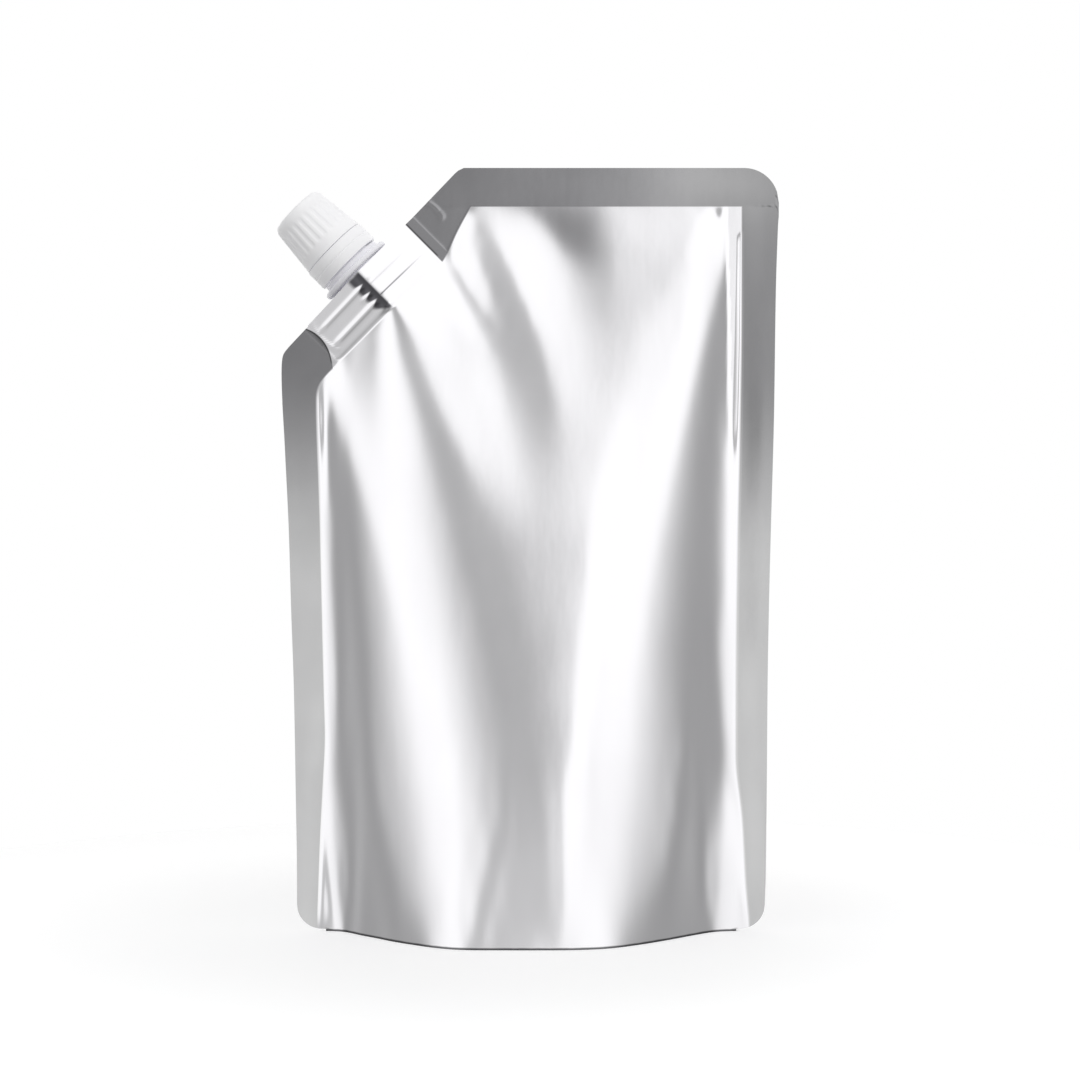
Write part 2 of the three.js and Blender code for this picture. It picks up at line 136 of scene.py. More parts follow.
# Control net of the filled front panel: how far it stands out from the flat, in mm. Rows run up the pack, columns
# from the left side seal's inner edge to the right one's; the film is the bicubic B-spline over it.
#NET
NET = np.array([
    [4.95, -0.74, -1.97, 1.41, -1.05, 2.51, 6.22, 8.92, 11.84, 15.95, 19.07, 21.91, 25.82, 28.16, 29.40, 31.56, 29.90, 31.15, 30.67, 30.92, 30.69, 30.64, 29.97, 29.77, 30.22, 29.31, 28.12, 24.88, 21.75, 18.48, 15.03, 11.91, 8.64, 6.16, 2.93, -0.33, 0.45, -0.30, -0.39, -0.30, 1.64],
    [-1.22, 0.18, 0.48, -0.23, 0.63, 3.23, 6.90, 9.66, 12.88, 16.64, 19.61, 22.56, 25.34, 27.52, 29.39, 30.10, 30.66, 30.24, 30.55, 30.45, 30.54, 30.36, 30.51, 30.20, 29.46, 28.70, 26.93, 24.54, 21.73, 18.85, 15.49, 12.20, 8.95, 5.82, 3.11, 0.92, 0.04, 0.06, 0.04, -0.08, 0.25],
    [-3.36, 0.82, 0.10, 0.18, 2.42, 3.97, 7.82, 10.65, 14.05, 17.40, 19.94, 22.30, 24.53, 26.64, 28.56, 29.09, 30.14, 30.17, 30.02, 30.25, 30.30, 30.57, 30.52, 30.60, 29.26, 27.98, 26.29, 24.39, 22.22, 19.90, 17.46, 14.51, 11.04, 7.66, 4.40, 3.08, 1.21, 0.57, 0.33, 0.74, -3.27],
    [-2.34, 0.54, 0.18, 1.67, 3.23, 5.17, 8.79, 11.96, 15.20, 17.50, 19.74, 21.97, 24.07, 25.93, 27.49, 28.40, 28.92, 29.83, 29.70, 29.82, 30.04, 30.31, 30.27, 30.31, 28.77, 27.14, 25.54, 23.82, 21.85, 19.80, 17.66, 15.71, 12.64, 8.82, 5.65, 3.94, 2.47, 1.31, 0.82, -0.09, -0.48],
    [-0.52, -0.09, 0.88, 2.24, 4.02, 6.55, 10.07, 13.27, 15.42, 17.56, 19.74, 21.79, 23.71, 25.27, 26.69, 27.42, 28.14, 28.56, 29.23, 29.05, 29.42, 29.62, 29.56, 29.63, 28.29, 26.58, 25.08, 23.52, 21.76, 19.83, 17.83, 15.71, 13.89, 10.56, 7.14, 4.98, 3.02, 1.55, 0.93, -0.29, 0.19],
    [-0.06, -0.22, 0.95, 2.63, 4.88, 7.73, 11.14, 13.46, 15.50, 17.62, 19.60, 21.52, 23.15, 24.53, 25.62, 26.31, 26.91, 27.46, 27.89, 28.04, 28.28, 28.38, 28.35, 28.36, 28.07, 26.31, 24.92, 23.55, 22.07, 20.34, 18.49, 16.53, 14.48, 12.71, 9.44, 6.92, 4.78, 2.54, 0.88, 0.01, -0.89],
    [-0.21, -0.21, 1.07, 2.54, 5.36, 8.37, 11.43, 13.55, 15.67, 17.64, 19.54, 21.28, 22.59, 23.78, 24.55, 25.18, 25.74, 26.16, 26.54, 26.72, 26.85, 26.88, 26.90, 26.85, 26.83, 25.28, 23.97, 22.74, 21.40, 19.73, 17.88, 15.92, 13.86, 11.68, 8.99, 6.50, 4.09, 1.97, 0.78, -0.08, -0.48],
    [0.05, -0.26, 0.97, 2.25, 4.80, 7.96, 10.84, 13.07, 15.14, 17.12, 18.95, 20.52, 21.59, 22.49, 23.17, 23.78, 24.26, 24.71, 24.95, 25.06, 25.19, 25.25, 25.27, 25.24, 25.18, 24.48, 22.97, 21.95, 20.92, 19.32, 17.58, 15.61, 13.54, 11.30, 8.81, 6.35, 3.76, 1.98, 0.85, -0.03, -0.72],
    [-0.34, -0.16, 0.96, 2.41, 4.85, 8.01, 10.65, 12.77, 14.82, 16.68, 18.49, 19.55, 20.35, 21.09, 21.74, 22.26, 22.73, 23.07, 23.13, 23.28, 23.37, 23.39, 23.42, 23.38, 23.36, 23.03, 21.68, 20.72, 19.93, 18.61, 16.90, 15.02, 12.94, 10.79, 8.35, 5.95, 3.47, 1.87, 0.81, -0.04, -0.65],
    [-0.16, -0.19, 0.94, 2.52, 4.94, 7.98, 10.37, 12.41, 14.34, 16.21, 17.48, 18.18, 18.96, 19.65, 20.23, 20.68, 21.10, 21.15, 21.30, 21.40, 21.45, 21.48, 21.47, 21.46, 21.38, 21.30, 20.23, 19.27, 18.63, 17.83, 16.18, 14.41, 12.42, 10.32, 8.03, 5.65, 3.49, 1.72, 0.54, 0.24, -1.49],
    [-0.46, -0.11, 0.91, 2.58, 5.01, 7.84, 10.00, 11.99, 13.90, 15.28, 16.11, 16.89, 17.60, 18.22, 18.71, 19.15, 19.25, 19.35, 19.47, 19.50, 19.51, 19.50, 19.48, 19.44, 19.38, 19.30, 18.63, 17.75, 17.14, 16.75, 15.58, 13.84, 11.95, 9.87, 7.69, 5.43, 3.30, 1.61, 0.43, 0.35, -1.81],
    [0.03, -0.26, 1.01, 2.51, 5.07, 7.49, 9.61, 11.55, 12.95, 13.97, 14.87, 15.65, 16.30, 16.83, 17.31, 17.52, 17.58, 17.68, 17.67, 17.64, 17.58, 17.53, 17.49, 17.44, 17.38, 17.32, 16.93, 16.22, 15.71, 15.35, 14.84, 13.36, 11.58, 9.58, 7.44, 5.23, 3.11, 1.49, 0.37, 0.40, -1.98],
    [-1.58, 0.26, 0.52, 2.61, 4.74, 7.07, 9.06, 10.44, 11.58, 12.74, 13.68, 14.43, 15.07, 15.61, 15.89, 16.03, 16.06, 15.96, 15.86, 15.73, 15.63, 15.58, 15.55, 15.51, 15.45, 15.38, 15.21, 14.72, 14.27, 14.03, 13.68, 12.90, 11.20, 9.34, 7.23, 5.02, 2.91, 1.29, 0.12, 0.68, -2.84],
    [-2.58, 0.64, 0.01, 2.34, 4.42, 6.47, 7.75, 8.94, 10.30, 11.58, 12.52, 13.31, 13.93, 14.33, 14.53, 14.55, 14.35, 14.15, 13.98, 13.80, 13.74, 13.75, 13.77, 13.74, 13.67, 13.60, 13.53, 13.28, 12.88, 12.72, 12.45, 12.11, 10.94, 9.11, 7.12, 4.88, 2.76, 0.96, 0.11, 0.61, -2.54],
    [-4.97, 1.39, -0.60, 2.15, 3.80, 5.17, 6.29, 7.73, 9.28, 10.61, 11.57, 12.33, 12.83, 13.10, 13.10, 12.86, 12.63, 12.45, 12.23, 12.08, 12.07, 12.17, 12.27, 12.24, 12.16, 12.08, 11.99, 11.90, 11.62, 11.46, 11.30, 11.06, 10.50, 8.95, 6.99, 4.88, 2.54, 0.94, -0.75, 1.60, -5.63],
    [-3.85, 1.02, -0.24, 1.56, 2.71, 3.76, 5.14, 6.75, 8.42, 9.83, 10.74, 11.39, 11.74, 11.77, 11.52, 11.30, 11.12, 10.90, 10.65, 10.60, 10.62, 10.90, 11.02, 10.93, 10.83, 10.74, 10.66, 10.58, 10.45, 10.30, 10.18, 10.02, 9.75, 8.70, 6.87, 4.81, 2.55, 0.67, -0.84, 1.56, -5.42],
    [0.24, -0.03, -0.04, 0.95, 1.44, 2.64, 4.26, 5.95, 7.80, 9.17, 9.99, 10.50, 10.62, 10.42, 10.17, 9.99, 9.78, 9.53, 9.38, 9.39, 9.54, 9.91, 9.91, 9.78, 9.66, 9.58, 9.53, 9.47, 9.40, 9.28, 9.17, 9.07, 8.93, 8.31, 6.77, 4.76, 2.54, 0.60, -1.22, 1.99, -6.76],
    [-11.01, 0.22, -0.35, -0.17, 0.18, 1.94, 3.52, 5.38, 7.29, 8.61, 9.32, 9.60, 9.50, 9.22, 8.99, 8.77, 8.57, 8.38, 8.28, 8.41, 8.73, 9.00, 8.88, 8.74, 8.61, 8.55, 8.52, 8.49, 8.45, 8.37, 8.27, 8.18, 8.10, 7.76, 6.60, 4.72, 2.57, 0.49, -1.14, 1.88, -6.39],
    [0.01, -6.36, -13.11, -2.72, -0.43, 1.29, 2.96, 4.72, 6.85, 8.08, 8.61, 8.67, 8.42, 8.11, 7.82, 7.61, 7.47, 7.22, 7.31, 7.65, 7.98, 8.08, 7.88, 7.73, 7.61, 7.56, 7.56, 7.57, 7.56, 7.51, 7.43, 7.35, 7.28, 7.13, 6.27, 4.69, 2.55, 0.55, -1.40, 2.13, -7.12],
    [0.00, 0.00, 0.00, 0.53, -2.52, 0.94, 2.54, 4.38, 6.32, 7.52, 7.94, 7.78, 7.41, 6.97, 6.66, 6.54, 6.17, 6.06, 6.65, 6.94, 7.25, 7.16, 6.90, 6.74, 6.62, 6.60, 6.63, 6.68, 6.70, 6.69, 6.63, 6.56, 6.48, 6.43, 5.79, 4.54, 2.57, 0.52, -1.43, 2.14, -7.14],
    [0.00, 0.00, 0.00, 0.00, 0.01, -2.47, 1.22, 2.76, 5.90, 7.34, 7.36, 6.81, 6.23, 5.76, 5.57, 5.14, 4.73, 5.45, 6.04, 6.25, 6.47, 6.16, 5.92, 5.74, 5.66, 5.66, 5.75, 5.82, 5.86, 5.87, 5.86, 5.80, 5.72, 5.68, 5.26, 4.19, 2.56, 0.47, -1.50, 2.23, -7.41],
    [0.00, 0.00, 0.00, 0.00, 0.00, 0.00, 0.21, -10.91, 6.05, 7.48, 6.34, 5.61, 5.00, 4.64, 4.16, 3.49, 3.95, 5.02, 5.32, 5.61, 5.54, 5.16, 4.93, 4.76, 4.71, 4.75, 4.91, 4.98, 5.02, 5.05, 5.06, 5.04, 4.97, 4.92, 4.69, 3.68, 2.41, 0.47, -1.70, 2.44, -8.06],
    [0.00, 0.00, 0.00, 0.00, 0.00, 0.00, 0.00, 0.00, -2.22, 4.53, 4.95, 4.12, 3.69, 3.11, 2.47, 2.44, 3.63, 4.43, 4.64, 4.86, 4.53, 4.17, 3.94, 3.80, 3.78, 3.85, 4.10, 4.16, 4.20, 4.22, 4.24, 4.26, 4.24, 4.17, 4.05, 3.13, 2.05, 0.50, -1.89, 2.61, -8.56],
    [0.00, 0.00, 0.00, 0.00, 0.00, 0.00, 0.00, 0.00, 0.00, -0.06, 6.07, 2.83, 1.85, 1.52, 1.08, 1.85, 3.30, 3.67, 3.98, 3.91, 3.48, 3.21, 2.95, 2.86, 2.84, 3.02, 3.32, 3.36, 3.38, 3.40, 3.42, 3.44, 3.45, 3.43, 3.32, 2.55, 1.56, 0.48, -1.95, 2.64, -8.61],
    [0.00, 0.00, 0.00, 0.00, 0.00, 0.00, 0.00, 0.00, 0.00, 0.00, 0.04, 14.70, 1.38, -0.13, -0.34, 1.75, 2.60, 2.96, 3.18, 2.79, 2.49, 2.19, 1.94, 1.90, 2.00, 2.29, 2.54, 2.58, 2.59, 2.60, 2.60, 2.61, 2.62, 2.65, 2.49, 1.90, 1.02, 0.37, -1.77, 2.14, -6.80],
    [0.00, 0.00, 0.00, 0.00, 0.00, 0.00, 0.00, 0.00, 0.00, 0.00, 0.00, -0.00, -21.06, 1.04, -0.58, 1.18, 1.78, 2.28, 2.04, 1.77, 1.54, 1.24, 1.11, 1.23, 1.40, 1.64, 1.80, 1.81, 1.80, 1.77, 1.76, 1.75, 1.75, 1.78, 1.74, 1.27, 0.61, 0.53, -2.06, 2.84, -9.30],
    [0.00, 0.00, 0.00, 0.00, 0.00, 0.00, 0.00, 0.00, 0.00, 0.00, 0.00, 0.00, 0.08, 1.22, -1.07, 0.17, 1.22, 1.14, 0.98, 0.82, 0.63, 0.48, 0.54, 0.66, 0.77, 0.87, 0.95, 0.98, 0.95, 0.91, 0.90, 0.88, 0.88, 0.86, 0.90, 0.60, 0.43, -0.15, 0.22, -2.34, 9.12],
    [0.00, 0.00, 0.00, 0.00, 0.00, 0.00, 0.00, 0.00, 0.00, 0.00, 0.00, 0.00, 0.00, 5.35, -0.87, -0.53, -0.04, 0.06, -0.06, -0.07, -0.07, 0.02, 0.03, 0.03, 0.03, 0.03, 0.03, 0.02, 0.00, 0.00, -0.00, 0.01, -0.01, 0.04, -0.07, 0.17, -0.48, 1.44, -4.14, 1.50, -1.87],
    [0.00, 0.00, 0.00, 0.00, 0.00, 0.00, 0.00, 0.00, 0.00, 0.00, 0.00, 0.00, 0.00, -0.00, 2.65, 2.03, -1.06, -1.36, -0.76, -0.56, -0.36, -0.56, -0.68, -0.77, -0.88, -0.98, -1.06, -1.05, -0.95, -0.92, -0.88, -0.91, -0.85, -1.00, -0.62, -1.27, 1.50, -5.60, 16.33, -3.67, -1.64],
])
#NETEND


def boat_start(z):
    """Depth of the film where the body leaves the welded boat, along the corner's inner edge."""
    L, _ = inner_edges(z)
    s, t = st(L, z)
    o = np.linspace(-3, 3, 9); w = np.exp(-0.5 * (o / 1.5) ** 2); w /= w.sum()
    return sum(ww * plan(s + oo, 7.3, 21.0) for oo, ww in zip(o, w)) * np.clip((z - 150) / 4, 0, 1) * np.clip((200 - z) / 4, 0, 1)


def cubic(t):
    return [(1 - t) ** 3 / 6, (3 * t ** 3 - 6 * t ** 2 + 4) / 6, (-3 * t ** 3 + 3 * t ** 2 + 3 * t + 1) / 6, t ** 3 / 6]


def net_heights(rowz, X):
    L = pchip(*INNER_L, rowz); R = pchip(*INNER_R, rowz)
    n, m = NET.shape[1] - 3, NET.shape[0] - 3
    fine = np.linspace(0, 1, 4001)
    across = 0.3 * (0.5 - 0.5 * np.cos(math.pi * fine)) + 0.7 * fine
    v = np.interp(np.clip((X - L[:, None]) / (R - L)[:, None], 0, 1), across, fine) * n
    w = np.repeat(pchip([0, 60, 120, 150, 205.3], [0, 5, 10.3, 14.0, 26], np.clip(rowz, 0, 205.3))[:, None], X.shape[1], 1)
    i = np.minimum(v.astype(int), n - 1); j = np.minimum(w.astype(int), m - 1)
    bv, bw = cubic(v - i), cubic(w - j)
    h = 0
    for b in range(4):
        for a in range(4):
            h = h + bw[b] * bv[a] * NET[j + b, i + a]
    return h


def front_heights(rowz, X):
    """Depth of the front panel over a grid whose rows are at the heights rowz."""
    L, R = inner_edges(rowz)
    start = boat_start(rowz)
    edges = net_heights(rowz, np.stack([L, R], 1))
    h = net_heights(rowz, X)
    h = h + (start - edges[:, 0])[:, None] * np.exp(-np.maximum(X - L[:, None], 0) / 2.5)
    h = h - edges[:, 1:] * np.exp(-np.maximum(R[:, None] - X, 0) / 2.5)
    return h, start


# ------------------------------------------------------------------ pouch mesh
def build_pouch():
    # rows, closer together at the base, round the spout and at the top
    steps = [(0, 3, 0.5), (3, 14, 0.8), (14, 36, 1.1), (36, 54, 0.8), (54, 150, 1.15), (150, 204, 0.5), (204, 207, 0.35), (207, 216, 0.75)]
    rows = []
    for a, b, d in steps:
        n = max(1, int(round((b - a) / d)))
        rows += list(np.linspace(a, b, n, endpoint=False))
    rows.append(TOP)
    if len(rows) % 2 == 0:
        rows.insert(1, 0.25)
    Z = np.array(rows)
    R = len(Z)
    NL, NB, NR = 36, 124, 20
    C = NL + NB + NR + 1

    # outer and inner edges on every row
    slope = (CUT_HIGH[0] - CUT_LOW[0]) / (CUT_HIGH[1] - CUT_LOW[1])
    straight = pchip(*EDGE_L, np.minimum(Z, 164.0))
    cut = CUT_LOW[0] + (Z - CUT_LOW[1]) * slope
    d = cut - straight
    xo = np.where(Z > 150, 0.5 * (straight + cut + np.sqrt(d * d + 1.2)), straight)
    near = smooth((Z - 215.0) / 1.0)
    xo = xo + near * 1.0
    xR = pchip(*EDGE_R, Z)
    zc = np.minimum(Z, INNER_TOP)
    xi, xr = inner_edges(zc)
    xi = np.maximum(xi, xo + 0.8)

    v = np.linspace(0, 1, NB + 1); vb = 0.5 * v + 0.5 * (0.5 - 0.5 * np.cos(math.pi * v))
    vb = 0.75 * vb + 0.25 * v
    vl = np.linspace(0, 1, NL + 1)[:-1]
    vl = vl + 0.03 * np.sin(2 * math.pi * vl)
    vr = np.linspace(0, 1, NR + 1)[1:]
    X = np.concatenate([xo[:, None] + (xi - xo)[:, None] * vl[None], xi[:, None] + (xr - xi)[:, None] * vb[None], xr[:, None] + (xR - xr)[:, None] * vr[None]], 1)
    ZZ = np.repeat(Z[:, None], C, 1)

    # body depth on the rows below the top seal
    inside = Z < INNER_TOP - 0.01
    XB = X[:, NL:NL + NB + 1]
    hb = np.zeros_like(XB)
    hb[inside], start = front_heights(Z[inside], XB[inside])

    H = np.zeros((R, C))
    H[:, NL:NL + NB + 1] = hb
    # the film over the welded boat, with the boat's ribs showing through
    s, t = st(X, ZZ)
    boat = plan(s, SLEEVE_R - SEAL, SLEEVE_L)
    runout = smooth((SLEEVE_L - 1.0 - np.abs(s)) / 4.0) * smooth((np.abs(s + 0.2) - 0.9) / 1.8)
    for tc, amp, wide in ((-3.9, 0.22, 0.60), (-9.5, 0.27, 0.75)):
        boat = boat + amp * np.exp(-((t - tc) / wide) ** 2) * runout * np.where(s > 0, 0.6, 1.0)
    boat = boat + 0.20 * np.exp(-((t + 6.8) / 0.55) ** 2) * smooth((s + 5.5) / 2.0) * smooth((-1.0 - s) / 0.8)
    # the film creases where the boat ends, and once more on the corner's upper block
    bow = 0.035 * (t + 6.0) ** 2
    span = smooth((0.3 - t) / 0.8) * smooth((t + 12.0) / 1.2)
    creases = 0.16 * np.exp(-((s - 18.7) / 0.42) ** 2) * span
    creases = creases + 0.20 * np.exp(-((s + 20.4 - bow) / 0.42) ** 2) * span
    creases = creases + 0.16 * np.exp(-((s - 28.4 + 0.05 * (t + 2.5) ** 2) / 0.34) ** 2) * smooth((1.4 - t) / 1.2) * smooth((t + 6.6) / 1.2)
    boat = boat + creases
    low = smooth((t - (SLEEVE_LOW - 0.9)) / 0.9)
    edge_h = np.where(ZZ < INNER_TOP, boat_start(np.clip(Z, 0, INNER_TOP))[:, None], 0)
    ti = st(xi, Z)[1][:, None]
    kb = smooth((t + 12.2) / np.minimum(ti + 12.2, -0.4))
    si = st(xi, Z)[0][:, None]
    boat = boat + (edge_h - plan(si, SLEEVE_R - SEAL, SLEEVE_L)) * kb * (np.abs(si) < SLEEVE_L + 1)
    low = np.ones_like(low)
    on_margin = np.zeros((R, C), bool); on_margin[:, :NL] = True
    H = np.where(on_margin & (ZZ < INNER_TOP + 6) & (ZZ > 150), np.maximum(H, boat * low), H)
    fade = np.clip(1 - (SLEEVE_LOW - t) / 7.0, 0, 1) ** 2
    H[:, NL:NL + NB + 1] = np.maximum(H, 0)[:, NL:NL + NB + 1]

    # the corners of the sheet
    def base_line(x, left, right):
        z = np.zeros_like(x)
        a = np.abs(x)
        z = LIFT * smooth((a - 56.0) / 2.5)
        for edge, sign in ((left, -1), (right, 1)):
            c = edge - sign * BASE_R
            u = np.clip((x - c) * sign, 0, BASE_R)
            z = np.where((x - c) * sign > 0, LIFT + BASE_R - np.sqrt(np.maximum(BASE_R ** 2 - u ** 2, 0)), z)
        return z
    low_line = base_line(X[0], xo[0], xR[0])
    kz = np.clip(1 - ZZ / 16.0, 0, 1)
    ZN = ZZ + low_line[None] * kz
    cx = 69.65 - TOP_R
    u = np.clip(X - cx, 0, TOP_R)
    top_line = TOP - TOP_R + np.sqrt(np.maximum(TOP_R ** 2 - u ** 2, 0))
    kt = np.clip((ZZ - 200.0) / (TOP - 200.0), 0, 1)
    ZN = np.where(ZZ > 200, ZN - (TOP - top_line) * kt, ZN)
    ZZ = ZN

    # how much of each point is seal
    seal = np.zeros((R, C))
    seal[:, :NL + 1] = 1; seal[:, NL + NB:] = 1
    seal[~inside] = 1
    dist = np.minimum.reduce([np.abs(X - xi[:, None]), np.abs(X - xr[:, None]), np.abs(INNER_TOP - ZZ)])
    bump_area = np.where(np.abs(s) < SLEEVE_L, smooth((t + 15.0) / 0.6), 0) * (ZZ > 150)

    # the flat seals aren't quite flat: the sheet waves a little, the waves fading out near the seals' inner edges
    wave = 0.05 * waves(X, ZZ, 3, (60, 38), 5) + 0.10 * np.sin(ZZ / 31.0 + 0.6) * np.tanh(X / 30.0)
    wave = wave * seal * (1 - bump_area)
    edge_fade = smooth(np.minimum.reduce([np.abs(X - xi[:, None]), np.abs(X - xr[:, None])]) / 6.5)
    edge_fade = np.where(ZZ > INNER_TOP, smooth((ZZ - INNER_TOP) / 6.5), edge_fade)
    wave = wave * edge_fade
    # fine irregularities of filled film
    soft = 0.02 * waves(X, ZZ, 11, (34, 22), 6)
    soft = soft * (1 - seal) * smooth(H / 4.0)

    front = np.stack([X, -(SEAL + H + soft) + wave, ZZ], -1)

    ZF = ZZ.copy()

    # ---- the back panel, on every second row and column
    XBk, ZBk = X[::2, ::2], ZZ[::2, ::2]
    Zr = Z[::2]
    CB = XBk.shape[1]; RB = XBk.shape[0]
    xi2, xr2 = xi[::2], xr[::2]
    uu = np.clip((2 * XBk - (xi2 + xr2)[:, None]) / (xr2 - xi2)[:, None], -1, 1)
    D = pchip([0, 15, 30, 42, 65, 93, 121, 149, 177, 196, 205.3, 217], [30.0, 30.5, 30.2, 29.2, 26.2, 22.0, 17.0, 11.8, 6.2, 2.1, 0, 0], Zr)
    n = pchip([0, 45, 120, 180, 217], [2.3, 2.15, 2.2, 2.7, 2.7], Zr)
    skew = pchip([0, 60, 130, 217], [0.0, -0.03, 0.10, 0.12], Zr)
    us = uu + skew[:, None] * (1 - uu * uu)
    backh = D[:, None] * (1 - np.abs(us) ** n[:, None])
    fil_l = np.maximum(XBk - xi2[:, None], 0); fil_r = np.maximum(xr2[:, None] - XBk, 0)
    S = (n * D / ((xr2 - xi2) / 2))[:, None]
    lam = 2.2
    backh = backh - S * 0.6 * lam * (1 - np.exp(-fil_l / lam)) * smooth(backh / 3) - S * 0.6 * lam * (1 - np.exp(-fil_r / lam)) * smooth(backh / 3)
    for (pts, depth, width, z0, z1) in (
        ([(205, -8), (175, -2), (150, 4), (120, 8)], 0.42, 4.5, 118, 208),
        ([(205, 24), (180, 22), (150, 18)], 0.30, 6.0, 140, 208),
    ):
        p = np.array(pts, float); o = np.argsort(p[:, 0])
        xc = np.interp(ZBk, p[o, 0], p[o, 1])
        run = smooth((ZBk - z0) / 30.0)
        w = width + (z1 - ZBk) * 0.07
        backh = backh * (1 - depth * run / (1 + ((XBk - xc) / w) ** 2) ** 1.5)
    ridge = np.interp(ZBk, [0, 60, 100, 140, 175], [2, 0, -6, -16, -30])
    backh = backh + 1.4 * smooth((ZBk - 95) / 30) * smooth((188 - ZBk) / 20) * np.exp(-0.5 * ((XBk - ridge) / 7.5) ** 2) * smooth(backh / 3)
    backh = np.where(Zr[:, None] < INNER_TOP - 0.01, np.maximum(backh, 0), 0)
    sb, tb = s[::2, ::2], t[::2, ::2]
    drape = plan(sb, SLEEVE_R - SEAL, SLEEVE_L) * np.where(tb > SLEEVE_LOW, 1, np.clip(1 - (SLEEVE_LOW - tb) / 46.0, 0, 1)) * (ZBk < INNER_TOP + 6) * (ZBk > 130)
    onb = np.zeros((RB, CB), bool); onb[:, :NL // 2] = True
    boatb = boat[::2, ::2] * low[::2, ::2]
    backh = np.where(onb & (ZBk < INNER_TOP + 6) & (ZBk > 150), boatb, np.where(onb, 0, (np.maximum(backh, 0) ** 3 + np.maximum(drape, 0) ** 3) ** (1 / 3.0)))
    backh = np.where(seal[::2, ::2] * (1 - bump_area[::2, ::2]) > 0.5, np.where(onb, backh, 0), backh)
    back = np.stack([XBk, SEAL + backh + 0.05 * waves(XBk, ZBk, 23, (30, 17), 6) * (1 - seal[::2, ::2]) * smooth(backh / 4) + wave[::2, ::2], ZBk], -1)

    verts = [front.reshape(-1, 3), back.reshape(-1, 3)]
    F = lambda r, c: r * C + c
    nf = R * C
    Bk = lambda r, c: nf + r * CB + c
    faces = []
    fr, fc = np.meshgrid(np.arange(R - 1), np.arange(C - 1), indexing="ij")
    a = F(fr, fc).ravel(); b = F(fr, fc + 1).ravel(); c_ = F(fr + 1, fc + 1).ravel(); d_ = F(fr + 1, fc).ravel()
    faces += list(zip(a, b, c_, d_))
    fr, fc = np.meshgrid(np.arange(RB - 1), np.arange(CB - 1), indexing="ij")
    a = Bk(fr, fc).ravel(); b = Bk(fr, fc + 1).ravel(); c_ = Bk(fr + 1, fc + 1).ravel(); d_ = Bk(fr + 1, fc).ravel()
    faces += list(zip(a, d_, c_, b))
    count = nf + RB * CB

    # ---- rim: right side, top, and the left side outside the spout's pocket
    def strip(fseq, bseq):
        """fseq has 2n+1 points of the front, bseq n+1 of the back; the outside is on the left of the walk."""
        for i in range(len(bseq) - 1):
            f0, f1, f2 = fseq[2 * i], fseq[2 * i + 1], fseq[2 * i + 2]
            b0, b1 = bseq[i], bseq[i + 1]
            faces.append((f0, b0, f1)); faces.append((f1, b0, b1)); faces.append((f1, b1, f2))
    right_f = [F(r, C - 1) for r in range(R)]; right_b = [Bk(r, CB - 1) for r in range(RB)]
    strip(right_f, right_b)
    top_f = [F(R - 1, c) for c in range(C - 1, -1, -1)]; top_b = [Bk(RB - 1, c) for c in range(CB - 1, -1, -1)]
    strip(top_f, top_b)
    # the spout's pocket opens in the cut edge
    s_edge = s[:, 0]
    mouth = [r for r in range(0, R, 2) if Z[r] > 160 and abs(s_edge[r]) < POCKET_L + 0.3]
    r0, r1 = mouth[0], mouth[-1]
    left_f = [F(r, 0) for r in range(R - 1, -1, -1)]; left_b = [Bk(r, 0) for r in range(RB - 1, -1, -1)]
    i0 = R - 1 - r1; i1 = R - 1 - r0
    strip(left_f[:i0 + 1], left_b[:i0 // 2 + 1])
    strip(left_f[i1:], left_b[i1 // 2:])

    def pocket(loop_f, loop_b, inner):
        """Walks from the front rim into a pocket and out to the back rim. inner(i, w) gives the points between."""
        nonlocal count
        rows_w = inner.shape[1]
        n = len(loop_f)
        base = count
        verts.append(inner.reshape(-1, 3)); count += n * rows_w
        I = lambda i, w: base + i * rows_w + w
        for i in range(n - 1):
            faces.append((loop_f[i], I(i, 0), I(i + 1, 0), loop_f[i + 1]))
            for w in range(rows_w - 1):
                faces.append((I(i, w), I(i, w + 1), I(i + 1, w + 1), I(i + 1, w)))
        for j in range(len(loop_b) - 1):
            i = 2 * j
            last = rows_w - 1
            faces.append((I(i, last), loop_b[j], I(i + 1, last)))
            faces.append((I(i + 1, last), loop_b[j], loop_b[j + 1]))
            faces.append((I(i + 1, last), loop_b[j + 1], I(i + 2, last)))
        # the two ends
        for i, lb, rev in ((0, loop_b[0], False), (n - 1, loop_b[-1], True)):
            ring = [loop_f[i]] + [I(i, w) for w in range(rows_w)] + [lb]
            half = len(ring)
            tri = []
            a0, b0 = 0, half - 1
            while b0 - a0 > 1:
                if b0 - a0 == 2:
                    tri.append((ring[a0], ring[a0 + 1], ring[b0]))
                    break
                tri.append((ring[a0], ring[a0 + 1], ring[b0 - 1], ring[b0]))
                a0 += 1; b0 -= 1
            for f in tri:
                faces.append(tuple(reversed(f)) if not rev else f)

